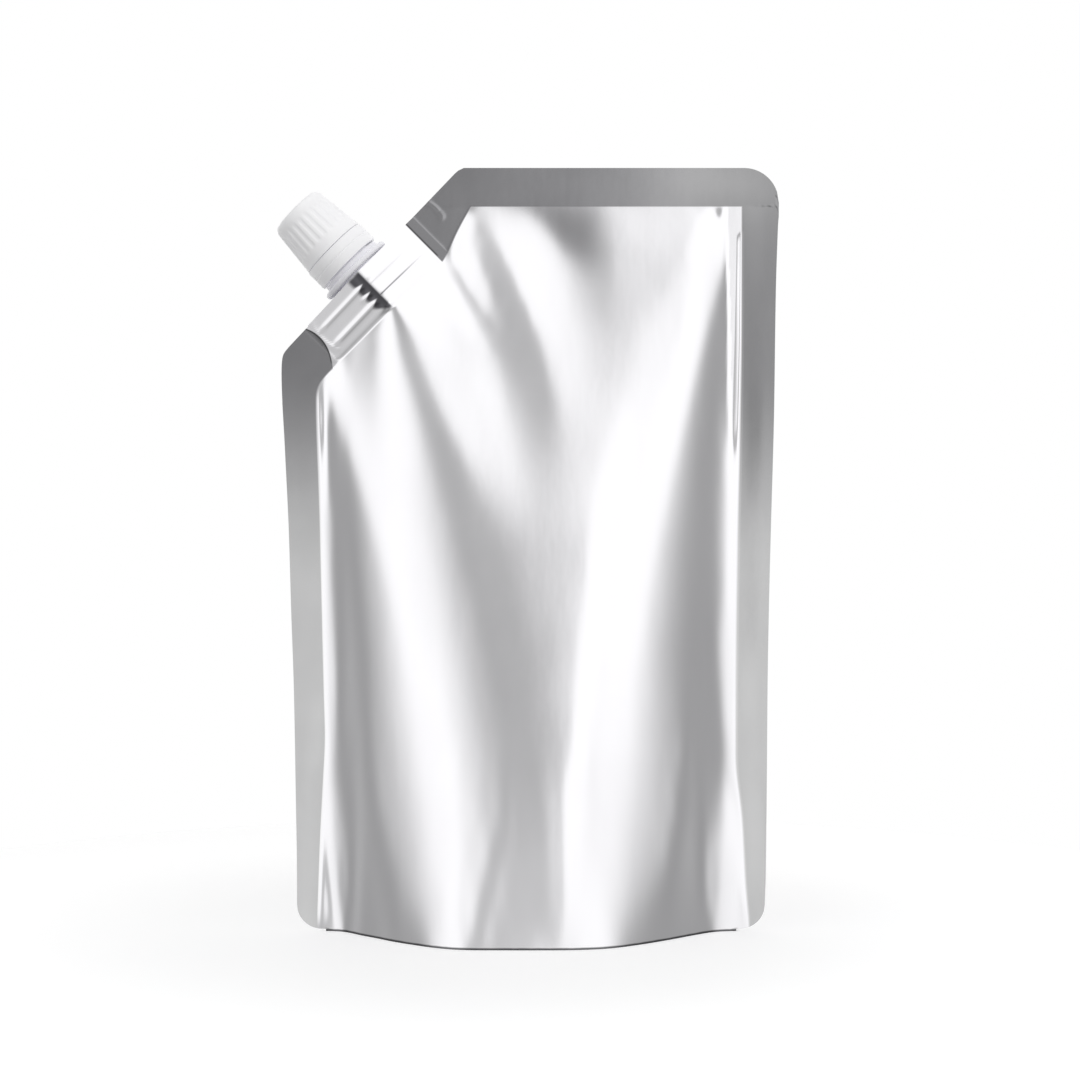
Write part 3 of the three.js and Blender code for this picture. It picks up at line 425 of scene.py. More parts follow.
    # spout pocket: the walk goes up the cut edge the other way round, top to bottom, to keep the outside out
    loop_rows = list(range(r1, r0 - 1, -1))
    loop_f = [F(r, 0) for r in loop_rows]; loop_b = [Bk(r // 2, 0) for r in loop_rows[::2]]
    depths = [0.0, 0.6, 2.0, 4.5, 8.0, 11.4, 12.3]
    pts = []
    for r in loop_rows:
        x0, z0 = X[r, 0], front[r, 0, 2]
        ss, tt = st(x0, z0)
        half = max(float(plan(np.array(ss), POCKET_R, POCKET_L + 0.5)), 0.04)
        lim = abs(front[r, 0, 1]) - 0.1
        half = min(half, max(lim, 0.04))
        path = []
        for dd in depths:
            x1, z1 = xz(ss, tt - dd)
            path.append((x1, -half, z1))
        for yy in (-0.5, 0, 0.5):
            x1, z1 = xz(ss, tt - depths[-1])
            path.append((x1, yy * half, z1))
        for dd in reversed(depths):
            x1, z1 = xz(ss, tt - dd)
            path.append((x1, half, z1))
        pts.append(path)
    pocket(loop_f, loop_b, np.array(pts))

    # ---- the opened gusset under the base
    cols = [c for c in range(0, C, 2) if abs(X[0, c]) < 58.8]
    c0, c1 = cols[0], cols[-1]
    bot_f = [F(0, c) for c in range(C)]; bot_b = [Bk(0, c) for c in range(CB)]
    strip(bot_f[:c0 + 1], bot_b[:c0 // 2 + 1])
    strip(bot_f[c1:], bot_b[c1 // 2:])
    def depth_at(x, zq, sign):
        # depth of the front or back panel at x on height zq
        grid, hs = (X, -front[:, :, 1]) if sign < 0 else (XBk, back[:, :, 1])
        zs = Z if sign < 0 else Zr
        j = int(np.clip(np.searchsorted(zs, zq) - 1, 0, len(zs) - 2)); f = (zq - zs[j]) / (zs[j + 1] - zs[j])
        return (1 - f) * np.interp(x, grid[j], hs[j]) + f * np.interp(x, grid[j + 1], hs[j + 1])
    loop_cols = list(range(c0, c1 + 1))
    pts = []
    for c in loop_cols:
        x = X[0, c]
        a = min(abs(x) / 59.6, 1.0)
        U = 4.6 + 36.0 * a ** 5.0
        close = 1 - smooth((abs(x) - 53.0) / 5.8) * 0.97
        zs_w = np.array([0.0, 0.16, 0.4, 0.7, 1.0]) * U
        path = []
        wall = 0.42
        for zq in zs_w:
            path.append((x, -max(depth_at(x, zq, -1) - wall, 0.03) * close, zq + (0.0 if zq > 0 else 0.0)))
        yf = -path[-1][1]; yb = max(depth_at(x, U, 1) - wall, 0.03) * close
        for w in (0.06, 0.14, 0.24, 0.35, 0.44, 0.5, 0.56, 0.65, 0.76, 0.86, 0.94):
            y = -yf + (yf + yb) * w
            sag = (3.3 * (1 - a ** 2) - 9.0 * a ** 4 * (1 - a)) * math.sin(math.pi * w) ** 0.8
            fold = 0.9 * math.exp(-((w - 0.5) / 0.05) ** 2)
            path.append((x, y, U - sag + fold))
        for zq in zs_w[::-1]:
            path.append((x, max(depth_at(x, zq, 1) - wall, 0.03) * close, zq))
        pts.append(path)
    pocket(loop_f=[F(0, c) for c in loop_cols], loop_b=[Bk(0, c // 2) for c in loop_cols[::2]], inner=np.array(pts))

    V = np.concatenate(verts) * MM
    ob = mesh_object("pouch_film", V, faces, sharp=58)
    me = ob.data
    # masks for the material: seal, and the tongue of flat film where shade is painted
    m1 = np.zeros(len(V))
    m1[:nf] = seal.ravel(); m1[nf:nf + RB * CB] = seal[::2, ::2].ravel()
    # the tongue of film that stays flat below the top seal; the material paints shade over it
    def step(v):
        return 1 / (1 + np.exp(-np.clip(v, -40, 40)))
    a_ = np.interp(ZF, [178, 189.5, 194.6, 205.3], [15.0, 10.3, 7.5, -1.0]); b_ = np.interp(ZF, [178, 189.5, 194.6, 205.3], [19.5, 19.3, 18.5, 20.0])
    tongue_painted_shade = step((X - a_) / 1.6) * step((b_ - X) / 1.6) * step((ZF - 188) / 3.0)
    m3 = np.zeros(len(V)); m3[:nf] = tongue_painted_shade.ravel()
    for name, data in (("seal", m1), ("tongue_shade_mask", m3)):
        at = me.attributes.new(name, "FLOAT", "POINT")
        at.data.foreach_set("value", data.astype(np.float32))
    return ob


# ------------------------------------------------------------------ turned pieces
def head_point(P):
    """From the spout's own frame (mm, third number along its axis) to the row frame (m)."""
    P = np.asarray(P, float)
    s_, y_, t_ = P[..., 0], P[..., 1], P[..., 2]
    return np.stack([HX + (s_ - t_) * C45, y_, HZ + (s_ + t_) * C45], -1) * MM


def lathe(profile, n):
    """A closed profile of (radius, height) turned once round; points with no radius become one vertex."""
    verts, rings, faces = [], [], []
    for r, t in profile:
        if r < 1e-6:
            rings.append([len(verts)] * n); verts.append((0, 0, t))
        else:
            base = len(verts)
            rings.append([base + i for i in range(n)])
            for i in range(n):
                a = 2 * math.pi * i / n
                verts.append((r * math.cos(a), r * math.sin(a), t))
    m = len(profile)
    closed = profile[0][0] > 1e-6 and profile[-1][0] > 1e-6
    for k in range(m if closed else m - 1):
        A, B = rings[k], rings[(k + 1) % m]
        for i in range(n):
            j = (i + 1) % n
            f = [A[i], A[j], B[j], B[i]]
            f = [v for q, v in enumerate(f) if v not in f[:q]]
            if len(f) > 2:
                faces.append(tuple(f))
    return verts, faces


def rounded(points, radius, steps=3):
    """Rounds the corners of an open profile, apart from its two ends."""
    out = [points[0]]
    for i in range(1, len(points) - 1):
        p, c, q = np.array(points[i - 1], float), np.array(points[i], float), np.array(points[i + 1], float)
        a, b = p - c, q - c
        la, lb = np.linalg.norm(a), np.linalg.norm(b)
        if la < 1e-9 or lb < 1e-9:
            continue
        r = min(radius, la * 0.45, lb * 0.45)
        p0, p1 = c + a / la * r, c + b / lb * r
        for k in range(steps + 1):
            w = k / steps
            out.append(tuple((1 - w) ** 2 * p0 + 2 * w * (1 - w) * c + w * w * p1))
    out.append(points[-1])
    return out


def piece(name, verts, faces, body, node, mat, sharp=35):
    ob = mesh_object(name, head_point(verts) if node != "pouch" else verts, faces, sharp=sharp)
    ob.data.materials.append(mat)
    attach(ob, body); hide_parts(node)
    return ob


def fix_normals(ob):
    import bmesh
    bm = bmesh.new(); bm.from_mesh(ob.data)
    bmesh.ops.recalc_face_normals(bm, faces=bm.faces)
    bm.to_mesh(ob.data); bm.free(); ob.data.update()


def build_cap():
    N = 24 * 12
    low, top, r0, r1, rin, ceil = 10.0, 25.2, 9.8, 8.15, 7.72, 23.8
    wall = lambda t: r0 + (r1 - r0) * (t - low) / (top - low)
    outer = [(r0 - 0.25, low), (r0 - 0.08, low + 0.06), (r0, low + 0.25)]
    ts = list(np.linspace(low + 0.6, 12.4, 4)) + list(np.linspace(12.7, 14.4, 8)) + list(np.linspace(14.9, 22.0, 14)) + list(np.linspace(22.3, 23.25, 6))
    outer += [(wall(t), t) for t in ts]
    R = 2.0
    cx, ct = r1 + 0.05 - R + 0.1, top - R
    for a in (8, 20, 32, 44, 56, 68, 80, 90):
        outer.append((cx + R * math.cos(math.radians(a)), ct + R * math.sin(math.radians(a))))
    outer += [(5.6, top), (4.2, top - 0.02), (2.2, top), (1.0, top - 0.03), (0, top - 0.03)]
    inner = [(0, ceil), (3, ceil), (6.2, ceil), (rin - 0.25, ceil), (rin, ceil - 0.25)]
    inner += [(rin, t) for t in np.linspace(ceil - 0.8, low + 0.8, 30)]
    inner += [(rin, low + 0.4), (rin + 0.25, low + 0.05), (rin + 0.35, low)]
    profile = inner + outer
    verts, faces = lathe(profile, N)
    V = np.array(verts)
    r = np.hypot(V[:, 0], V[:, 1]); th = np.arctan2(V[:, 1], V[:, 0]); t = V[:, 2]
    outside = (r > rin + 0.36) & (t > low + 0.4)
    run_low = smooth((t - 12.9) / 1.1); run_top = smooth((22.6 - t) / 1.8)
    groove = 0.5 - 0.5 * np.cos(24 * th)
    groove = smooth((groove - 0.18) / 0.7)
    dip = np.where(outside, 0.20 * run_low * run_top * groove, 0)
    # thread inside the cap: two starts, 6 mm of lead, kept clear of the neck's
    lead = 6.0
    phase = (th / (2 * math.pi) * lead - (t - 12.0)) / 3.0
    ridge = np.clip(1 - np.abs(((phase + 0.5) % 1.0) - 0.5) / 0.20, 0, 1)
    ridge = smooth(ridge) * 0.26 * smooth((t - 11.4) / 1.0) * smooth((20.6 - t) / 1.0)
    on_wall = (np.abs(r - rin) < 0.05) & (t < 22)
    dip = np.where(on_wall, ridge, dip)
    k = np.where(r > 1e-6, (r - dip) / np.maximum(r, 1e-6), 1)
    V[:, 0] *= k; V[:, 1] *= k
    return V, faces


def build_band():
    N = 192
    prof = [(9.0, 9.79), (9.0, 5.5), (8.75, 5.25), (8.1, 5.02), (7.95, 4.85), (8.0, 4.55), (8.5, 4.15), (8.75, 3.86), (9.0, 3.8), (9.8, 3.8), (9.98, 3.87), (10.05, 4.1), (10.05, 6.6), (9.96, 6.72), (9.96, 6.95), (10.05, 7.07), (10.02, 9.62), (9.95, 9.78), (9.8, 9.82), (9.2, 9.82)]
    verts, faces = lathe(prof, N)
    # stubs of the parted bridges, standing on the band's upper edge
    V = [tuple(v) for v in verts]
    for i in range(10):
        a = 2 * math.pi * (i + 0.5) / 10
        w = 0.05
        base = len(V)
        for (r, t) in ((9.25, 9.5), (9.72, 9.5), (9.66, 9.86), (9.32, 9.86)):
            for da in (-w, w):
                V.append((r * math.cos(a + da), r * math.sin(a + da), t))
        q = [base + k for k in range(8)]
        faces += [(q[0], q[1], q[3], q[2]), (q[2], q[3], q[5], q[4]), (q[4], q[5], q[7], q[6]), (q[6], q[7], q[1], q[0]), (q[0], q[2], q[4], q[6]), (q[1], q[7], q[5], q[3])]
    return np.array(V), faces


def build_neck():
    """Flange, collar, bead and threaded neck of the spout, with its bore."""
    N = 144
    outer = rounded([(5.85, -3.0), (6.75, -3.0), (6.75, 0.45), (10.8, 0.45), (11.1, 0.75), (11.1, 1.6), (10.7, 2.0), (9.4, 2.0), (9.4, 3.4), (7.0, 3.4), (6.95, 5.4), (8.3, 5.9), (8.3, 6.4), (7.0, 7.2)], 0.18, 3)
    ts = list(np.linspace(7.5, 21.0, 68))
    outer += [(6.95, t) for t in ts]
    outer += [(6.9, 21.45), (6.7, 21.8), (6.4, 22.0), (6.1, 21.95), (5.88, 21.7), (5.85, 21.3)]
    inner = [(5.85, t) for t in np.linspace(18, 0, 8)]
    verts, faces = lathe(outer + inner, N)
    V = np.array(verts)
    r = np.hypot(V[:, 0], V[:, 1]); th = np.arctan2(V[:, 1], V[:, 0]); t = V[:, 2]
    lead = 6.0
    phase = (th / (2 * math.pi) * lead - (t - 10.5)) / 3.0
    ridge = np.clip(1 - np.abs(((phase + 0.5) % 1.0) - 0.5) / 0.24, 0, 1)
    ridge = smooth(ridge * 1.35) * 0.42 * smooth((t - 8.6) / 1.3) * smooth((20.3 - t) / 1.3)
    out = (r > 6.6) & (t > 7.6) & (t < 21.2)
    k = np.where(out, (r + ridge) / np.maximum(r, 1e-6), 1)
    V[:, 0] *= k; V[:, 1] *= k
    return V, faces


def build_boat():
    """The part of the spout that is welded between the films: a boat with ribs, bored through."""
    pitch, thick, low, topt = 2.65, 1.25, -12.0, -0.15
    levels = []
    for i in range(5):
        a = low + i * pitch
        levels += [(a, 0.55), (a + 0.12, 0.12), (a + 0.3, 0.0), (a + thick - 0.3, 0.0), (a + thick - 0.12, 0.12), (a + thick, 0.55)]
    levels = [(low, 0.2)] + levels[1:]
    levels[-1] = (topt, 0.25)
    nS = 60
    sgrid = np.sin(np.linspace(-math.pi / 2, math.pi / 2, nS + 1)) * 20.6
    verts, faces = [], []
    ring = 2 * nS
    for t, inset in levels:
        half = np.maximum(plan(sgrid, 7.1, 20.9), 0.3)
        half = np.maximum(half - inset, 0.22)
        for i in range(nS + 1):
            verts.append((sgrid[i], -half[i], t))
        for i in range(nS - 1, 0, -1):
            verts.append((sgrid[i], half[i], t))
    L = len(levels)
    for l in range(L - 1):
        for i in range(ring):
            j = (i + 1) % ring
            faces.append((l * ring + i, l * ring + j, (l + 1) * ring + j, (l + 1) * ring + i))
    # bore, and the two ends
    NB_ = ring
    ang = []
    for i in range(nS + 1):
        ang.append(math.pi + math.pi * i / nS)
    for i in range(nS - 1, 0, -1):
        ang.append(math.pi * (1 - i / nS) if False else math.pi - math.pi * i / nS)
    b0 = len(verts)
    for t in (low, -6.0, topt):
        for a in ang:
            verts.append((5.85 * math.cos(a), 5.85 * math.sin(a), t))
    for i in range(ring):
        j = (i + 1) % ring
        faces.append((b0 + i, i, j, b0 + j)[::-1])
        faces.append((b0 + 2 * ring + i, b0 + 2 * ring + j, (L - 1) * ring + j, (L - 1) * ring + i)[::-1])
        faces.append((b0 + i, b0 + j, b0 + ring + j, b0 + ring + i)[::-1])
        faces.append((b0 + ring + i, b0 + ring + j, b0 + 2 * ring + j, b0 + 2 * ring + i)[::-1])
    return np.array(verts), faces


def build_liner():
    prof = rounded([(0, 22.3), (7.4, 22.3), (7.4, 23.5), (0, 23.5)], 0.22, 4)
    prof = prof[:1] + [(2.5, 22.3), (5.0, 22.3)] + prof[1:]
    verts, faces = lathe(prof, 120)
    V = np.array(verts)
    r = np.hypot(V[:, 0], V[:, 1])
    press = 0.10 * np.exp(-((r - 6.5) / 0.5) ** 2) * (V[:, 2] < 22.6)
    V[:, 2] += press
    return V, faces


# ------------------------------------------------------------------ materials
class Nodes:
    def __init__(self, tree):
        self.t = tree
        tree.nodes.clear()

    def new(self, kind, **kw):
        n = self.t.nodes.new(kind)
        for k, v in kw.items():
            setattr(n, k, v)
        return n

    def link(self, a, b):
        self.t.links.new(a, b)

    def math(self, op, *args, clamp=False):
        n = self.new("ShaderNodeMath", operation=op, use_clamp=clamp)
        for i, a in enumerate(args):
            if isinstance(a, (int, float)):
                n.inputs[i].default_value = a
            else:
                self.link(a, n.inputs[i])
        return n.outputs[0]

    def map(self, value, a, b, c, d, kind="SMOOTHSTEP"):
        n = self.new("ShaderNodeMapRange", interpolation_type=kind)
        n.inputs["From Min"].default_value = a; n.inputs["From Max"].default_value = b
        n.inputs["To Min"].default_value = c; n.inputs["To Max"].default_value = d
        self.link(value, n.inputs["Value"])
        return n.outputs["Result"]

    def noise(self, vector, scale, detail=2, rough=0.5, distortion=0.0):
        n = self.new("ShaderNodeTexNoise")
        n.inputs["Scale"].default_value = scale; n.inputs["Detail"].default_value = detail
        n.inputs["Roughness"].default_value = rough; n.inputs["Distortion"].default_value = distortion
        self.link(vector, n.inputs["Vector"])
        return n.outputs["Fac"]

    def mix(self, fac, a, b):
        n = self.new("ShaderNodeMix", data_type="RGBA")
        for sock, v in ((n.inputs[0], fac), (n.inputs[6], a), (n.inputs[7], b)):
            if isinstance(v, (int, float)):
                sock.default_value = v
            elif isinstance(v, tuple):
                sock.default_value = (*v, 1)
            else:
                self.link(v, sock)
        return n.outputs[2]

    def bump(self, height, strength, distance, normal=None):
        n = self.new("ShaderNodeBump")
        n.inputs["Strength"].default_value = strength; n.inputs["Distance"].default_value = distance
        self.link(height, n.inputs["Height"])
        if normal is not None:
            self.link(normal, n.inputs["Normal"])
        return n.outputs["Normal"]

    def scaled(self, sx, sy, sz):
        tc = self.new("ShaderNodeTexCoord")
        m = self.new("ShaderNodeMapping")
        m.inputs["Scale"].default_value = (sx, sy, sz)
        self.link(tc.outputs["Object"], m.inputs["Vector"])
        return m.outputs["Vector"]


def material(name):
    m = bpy.data.materials.new(name)
    m.use_nodes = True
    n = Nodes(m.node_tree)
    out = n.new("ShaderNodeOutputMaterial")
    bsdf = n.new("ShaderNodeBsdfPrincipled")
    n.link(bsdf.outputs[0], out.inputs[0])
    return m, n, bsdf


def film_material():
    m, n, b = material("metallised_film_look")
    obj = n.scaled(1, 1, 1)
    seal = n.new("ShaderNodeAttribute", attribute_name="seal").outputs["Fac"]
    sep = n.new("ShaderNodeSeparateXYZ"); n.link(obj, sep.inputs[0])
    # the spout's own directions, in mm: s along the boat, t along the bore
    k = C45 / MM
    s = n.math("ADD", n.math("ADD", n.math("MULTIPLY", sep.outputs[0], k), n.math("MULTIPLY", sep.outputs[2], k)), -(HX + HZ) * C45)
    t = n.math("ADD", n.math("SUBTRACT", n.math("MULTIPLY", sep.outputs[2], k), n.math("MULTIPLY", sep.outputs[0], k)), (HX - HZ) * C45)
    def gauss(value, centre, width):
        u = n.math("DIVIDE", n.math("ADD", value, -centre), width)
        return n.math("EXPONENT", n.math("MULTIPLY", n.math("MULTIPLY", u, u), -1.0))
    def above(a, b, width):
        return n.map(n.math("SUBTRACT", a, b), -width, width, 0.0, 1.0)
    t5 = n.math("ADD", t, 5.0)
    left_end = n.math("SUBTRACT", -20.4, n.math("MULTIPLY", n.math("MULTIPLY", t5, t5), 0.05))
    near_boat = above(t, -16.0, 0.6)
    boat = n.math("MULTIPLY", n.math("MULTIPLY", above(s, left_end, 0.12), above(18.9, s, 0.12)), near_boat)
    # painted shade: the seal blocks at the two ends of the boat are painted darker
    boat_end_shade = n.math("MULTIPLY", n.math("MULTIPLY", above(s, -21.9, 0.25), above(21.9, s, 0.25)), near_boat)
    boat_end_shade = n.math("MULTIPLY", boat_end_shade, n.math("SUBTRACT", 1.0, boat))
    # painted shade: thin dark crease lines painted along the boat's ends
    boat_end_shade_line = n.math("ADD", gauss(n.math("SUBTRACT", s, left_end), -0.30, 0.17), gauss(s, 19.25, 0.17))
    boat_end_shade_line = n.math("MULTIPLY", boat_end_shade_line, n.math("MULTIPLY", above(t, -12.2, 0.4), seal), clamp=True)
    seal = n.math("MULTIPLY", seal, n.math("SUBTRACT", 1.0, boat))
    cloud = n.noise(obj, 38, 3, 0.55)
    streak = n.noise(n.scaled(1.0, 1.0, 0.06), 900, 2, 0.6)
    fine = n.noise(obj, 1500, 2, 0.6)
    tone = n.mix(n.map(cloud, 0.3, 0.7, 0, 1), (0.915, 0.908, 0.930), (0.930, 0.924, 0.945))
    tone = n.mix(n.map(streak, 0.35, 0.8, 0, 0.10), tone, (0.86, 0.86, 0.87))
    # painted shade: the weld is mixed from its own tone towards a dark painted tone, more towards the top, a little
    # less to the right, least at the top right corner
    weld_shade = n.map(sep.outputs[2], 0.098, 0.166, 0.0, 1.0)
    left = n.map(sep.outputs[0], 0.02, 0.06, 1.0, 0.86)
    cx = n.math("DIVIDE", n.math("SUBTRACT", sep.outputs[0], 0.053), 0.019); cz = n.math("DIVIDE", n.math("SUBTRACT", sep.outputs[2], 0.213), 0.013)
    corner = n.math("EXPONENT", n.math("MULTIPLY", n.math("ADD", n.math("MULTIPLY", cx, cx), n.math("MULTIPLY", cz, cz)), -1.0))
    weld_shade = n.math("MULTIPLY", n.math("MULTIPLY", weld_shade, left), n.math("SUBTRACT", 1.0, n.math("MULTIPLY", corner, 0.5)), clamp=True)
    welded = n.mix(n.map(cloud, 0.3, 0.7, 0, 1), (SEAL_TONE, SEAL_TONE, SEAL_TONE * 1.005), (SEAL_TONE * 1.06, SEAL_TONE * 1.06, SEAL_TONE * 1.065))
    painted_shade_tone = n.mix(n.map(cloud, 0.3, 0.7, 0, 1), (0.335, 0.333, 0.345), (0.36, 0.358, 0.37))
    weld_tone_and_shade = n.mix(weld_shade, welded, painted_shade_tone)
    # the right side is turned to the light a little; painted shade makes its weld darker again
    weld_tone_and_shade = n.mix(n.map(sep.outputs[0], 0.026, 0.056, 0.0, 0.37), weld_tone_and_shade, (0.0, 0.0, 0.0))
    weld_tone_and_shade = n.mix(n.math("MULTIPLY", boat_end_shade, 0.42), weld_tone_and_shade, (0.0, 0.0, 0.0))
    weld_tone_and_shade = n.mix(n.math("MULTIPLY", boat_end_shade_line, 0.8), weld_tone_and_shade, (0.02, 0.02, 0.02))
    # painted shade: the flat tongue of film below the top seal is painted with the dark tone
    tongue_shade_mask = n.new("ShaderNodeAttribute", attribute_name="tongue_shade_mask").outputs["Fac"]
    tone = n.mix(n.math("MULTIPLY", tongue_shade_mask, 0.75), tone, painted_shade_tone)
    # painted shade: the film is painted darkest in a band over the spout's crest, with thin painted dark lines beside
    # it, and a painted contact shadow runs as a dark line along the base
    spikes = n.math("ADD", n.math("ADD", gauss(t, -3.4, 0.55), gauss(t, -6.4, 0.50)), gauss(t, -9.1, 0.60))
    left_edge = n.math("ADD", n.math("MULTIPLY", spikes, 2.2), -3.9)
    left_edge = n.math("ADD", left_edge, n.math("MULTIPLY", n.map(t, -10.2, -13.4, 0.0, 1.0), 2.6))
    crest_shade = n.math("MULTIPLY", above(s, left_edge, 0.8), above(0.15, s, 0.30))
    crest_shade = n.math("MULTIPLY", crest_shade, n.math("MULTIPLY", above(t, -13.6, 0.8), above(-0.1, t, 0.6)))
    thin_shade_lines = n.math("MULTIPLY", gauss(t, -9.0, 0.20), n.math("MULTIPLY", above(s, -0.3, 0.4), n.map(s, 6.0, 17.5, 0.85, 0.0)))
    thin_shade_lines = n.math("ADD", thin_shade_lines, n.math("MULTIPLY", gauss(t, -4.9, 0.28), n.math("MULTIPLY", above(s, 0.2, 0.4), n.map(s, 4.0, 14.0, 0.20, 0.0))))
    crest_shade = n.math("MULTIPLY", n.math("MAXIMUM", crest_shade, thin_shade_lines), n.math("MULTIPLY", n.map(sep.outputs[1], -0.0005, 0.0, 1.0, 0.0), above(sep.outputs[2], 0.150, 0.001)))
    tone = n.mix(n.math("MULTIPLY", crest_shade, 0.95), tone, (0.075, 0.074, 0.084))
    both = n.mix(seal, tone, weld_tone_and_shade)
    # painted shadow: the lowest millimetre of film is painted near-black, a contact shadow line along the base
    edge = n.map(n.math("ADD", sep.outputs[2], n.math("MULTIPLY", n.noise(obj, 300, 2), 0.0002)), 0.00045, 0.0009, 1.0, 0.0)
    n.link(n.mix(n.math("MULTIPLY", edge, 0.9), both, (0.05, 0.05, 0.055)), b.inputs["Base Color"])
    b.inputs["Metallic"].default_value = 1.0
    rough = n.math("ADD", n.map(cloud, 0.2, 0.8, 0.10, 0.13), n.map(fine, 0.2, 0.8, -0.01, 0.015))
    rough = n.math("ADD", rough, n.math("MULTIPLY", seal, 0.02))
    n.link(rough, b.inputs["Roughness"])
    micro = n.noise(obj, 420, 3, 0.55)
    ripple = n.noise(n.scaled(1.0, 1.0, 0.25), 170, 2, 0.5)
    n1 = n.bump(n.math("ADD", n.math("MULTIPLY", micro, 0.35), ripple), 0.05, 0.00030)
    n.link(n1, b.inputs["Normal"])
    return m


def spout_material():
    m, n, b = material("natural_polyethylene_look")
    obj = n.scaled(1, 1, 1)
    cloud = n.noise(obj, 260, 3, 0.6)
    n.link(n.mix(n.map(cloud, 0.3, 0.7, 0, 1), (0.79, 0.785, 0.83), (0.83, 0.825, 0.865)), b.inputs["Base Color"])
    n.link(n.map(n.noise(obj, 900, 2), 0.2, 0.8, 0.30, 0.42), b.inputs["Roughness"])
    b.inputs["Subsurface Weight"].default_value = 0.35
    b.inputs["Subsurface Radius"].default_value = (1.0, 0.95, 1.0)
    b.inputs["Subsurface Scale"].default_value = 0.0035
    b.inputs["IOR"].default_value = 1.51
    n.link(n.bump(n.noise(obj, 2600, 2), 0.15, 0.00008), b.inputs["Normal"])
    return m


def cap_material():
    m, n, b = material("white_polypropylene_look")
    obj = n.scaled(1, 1, 1)
    cloud = n.noise(obj, 160, 3, 0.55)
    n.link(n.mix(n.map(cloud, 0.3, 0.7, 0, 1), (0.925, 0.922, 0.94), (0.945, 0.943, 0.955)), b.inputs["Base Color"])
    n.link(n.map(n.noise(obj, 1200, 2), 0.2, 0.8, 0.34, 0.46), b.inputs["Roughness"])
    b.inputs["Subsurface Weight"].default_value = 0.25
    b.inputs["Subsurface Radius"].default_value = (1.0, 1.0, 1.0)
    b.inputs["Subsurface Scale"].default_value = 0.0015
    n.link(n.bump(n.noise(obj, 3200, 2), 0.16, 0.00006), b.inputs["Normal"])
    return m


def foam_material():
    m, n, b = material("liner_foam_look")
    obj = n.scaled(1, 1, 1)
    v = n.new("ShaderNodeTexVoronoi", feature="F1")
    v.inputs["Scale"].default_value = 2600
    n.link(obj, v.inputs["Vector"])
    n.link(n.mix(n.map(n.noise(obj, 700, 3), 0.3, 0.7, 0, 1), (0.86, 0.85, 0.82), (0.92, 0.91, 0.885)), b.inputs["Base Color"])
    n.link(n.map(v.outputs["Distance"], 0, 0.6, 0.65, 0.85), b.inputs["Roughness"])
    n.link(n.bump(v.outputs["Distance"], 0.35, 0.00012), b.inputs["Normal"])
    return m


def floor_material():
    m, n, b = material("floor_look")
    obj = n.scaled(1, 1, 1)
    sep = n.new("ShaderNodeSeparateXYZ"); n.link(obj, sep.inputs[0])
    x, y = sep.outputs[0], sep.outputs[1]
    r = n.math("SQRT", n.math("ADD", n.math("MULTIPLY", x, x), n.math("MULTIPLY", y, y)))
    # painted shade: the floor is painted darker within 7 cm of the pack, fading to white by 19 cm, a pool of shade
    # round its base; the noise in it varies at random
    near = n.mix(n.map(n.noise(obj, 6, 3), 0.3, 0.7, 0, 1), (0.845, 0.845, 0.85), (0.86, 0.86, 0.86))
    n.link(n.mix(n.map(r, 0.07, 0.19, 0.0, 1.0), near, (0.99, 0.99, 0.99)), b.inputs["Base Color"])
    b.inputs["Roughness"].default_value = 0.7
    b.inputs["Emission Color"].default_value = (1, 1, 1, 1)
    b.inputs["Emission Strength"].default_value = FLOOR_GLOW
    return m


# ------------------------------------------------------------------ studio: a soft dome with two tall windows of light
#ENV
FRONT = [(-12, 0.532), (-5, 0.531), (0, 0.472), (4, 0.437), (8, 0.409), (12, 0.398), (18, 0.397), (28, 0.519)]
LOBE_L = (-43.1, 23.5, 10.2, 6.2, 0.969)
LOBE_R = (31.1, 29.4, 3.0, 11.4, 0.977)
TOP_LIGHT = (32.7, 8.2, 1.003)
SIDE, LOW = 0.317, 0.844
#ENVEND


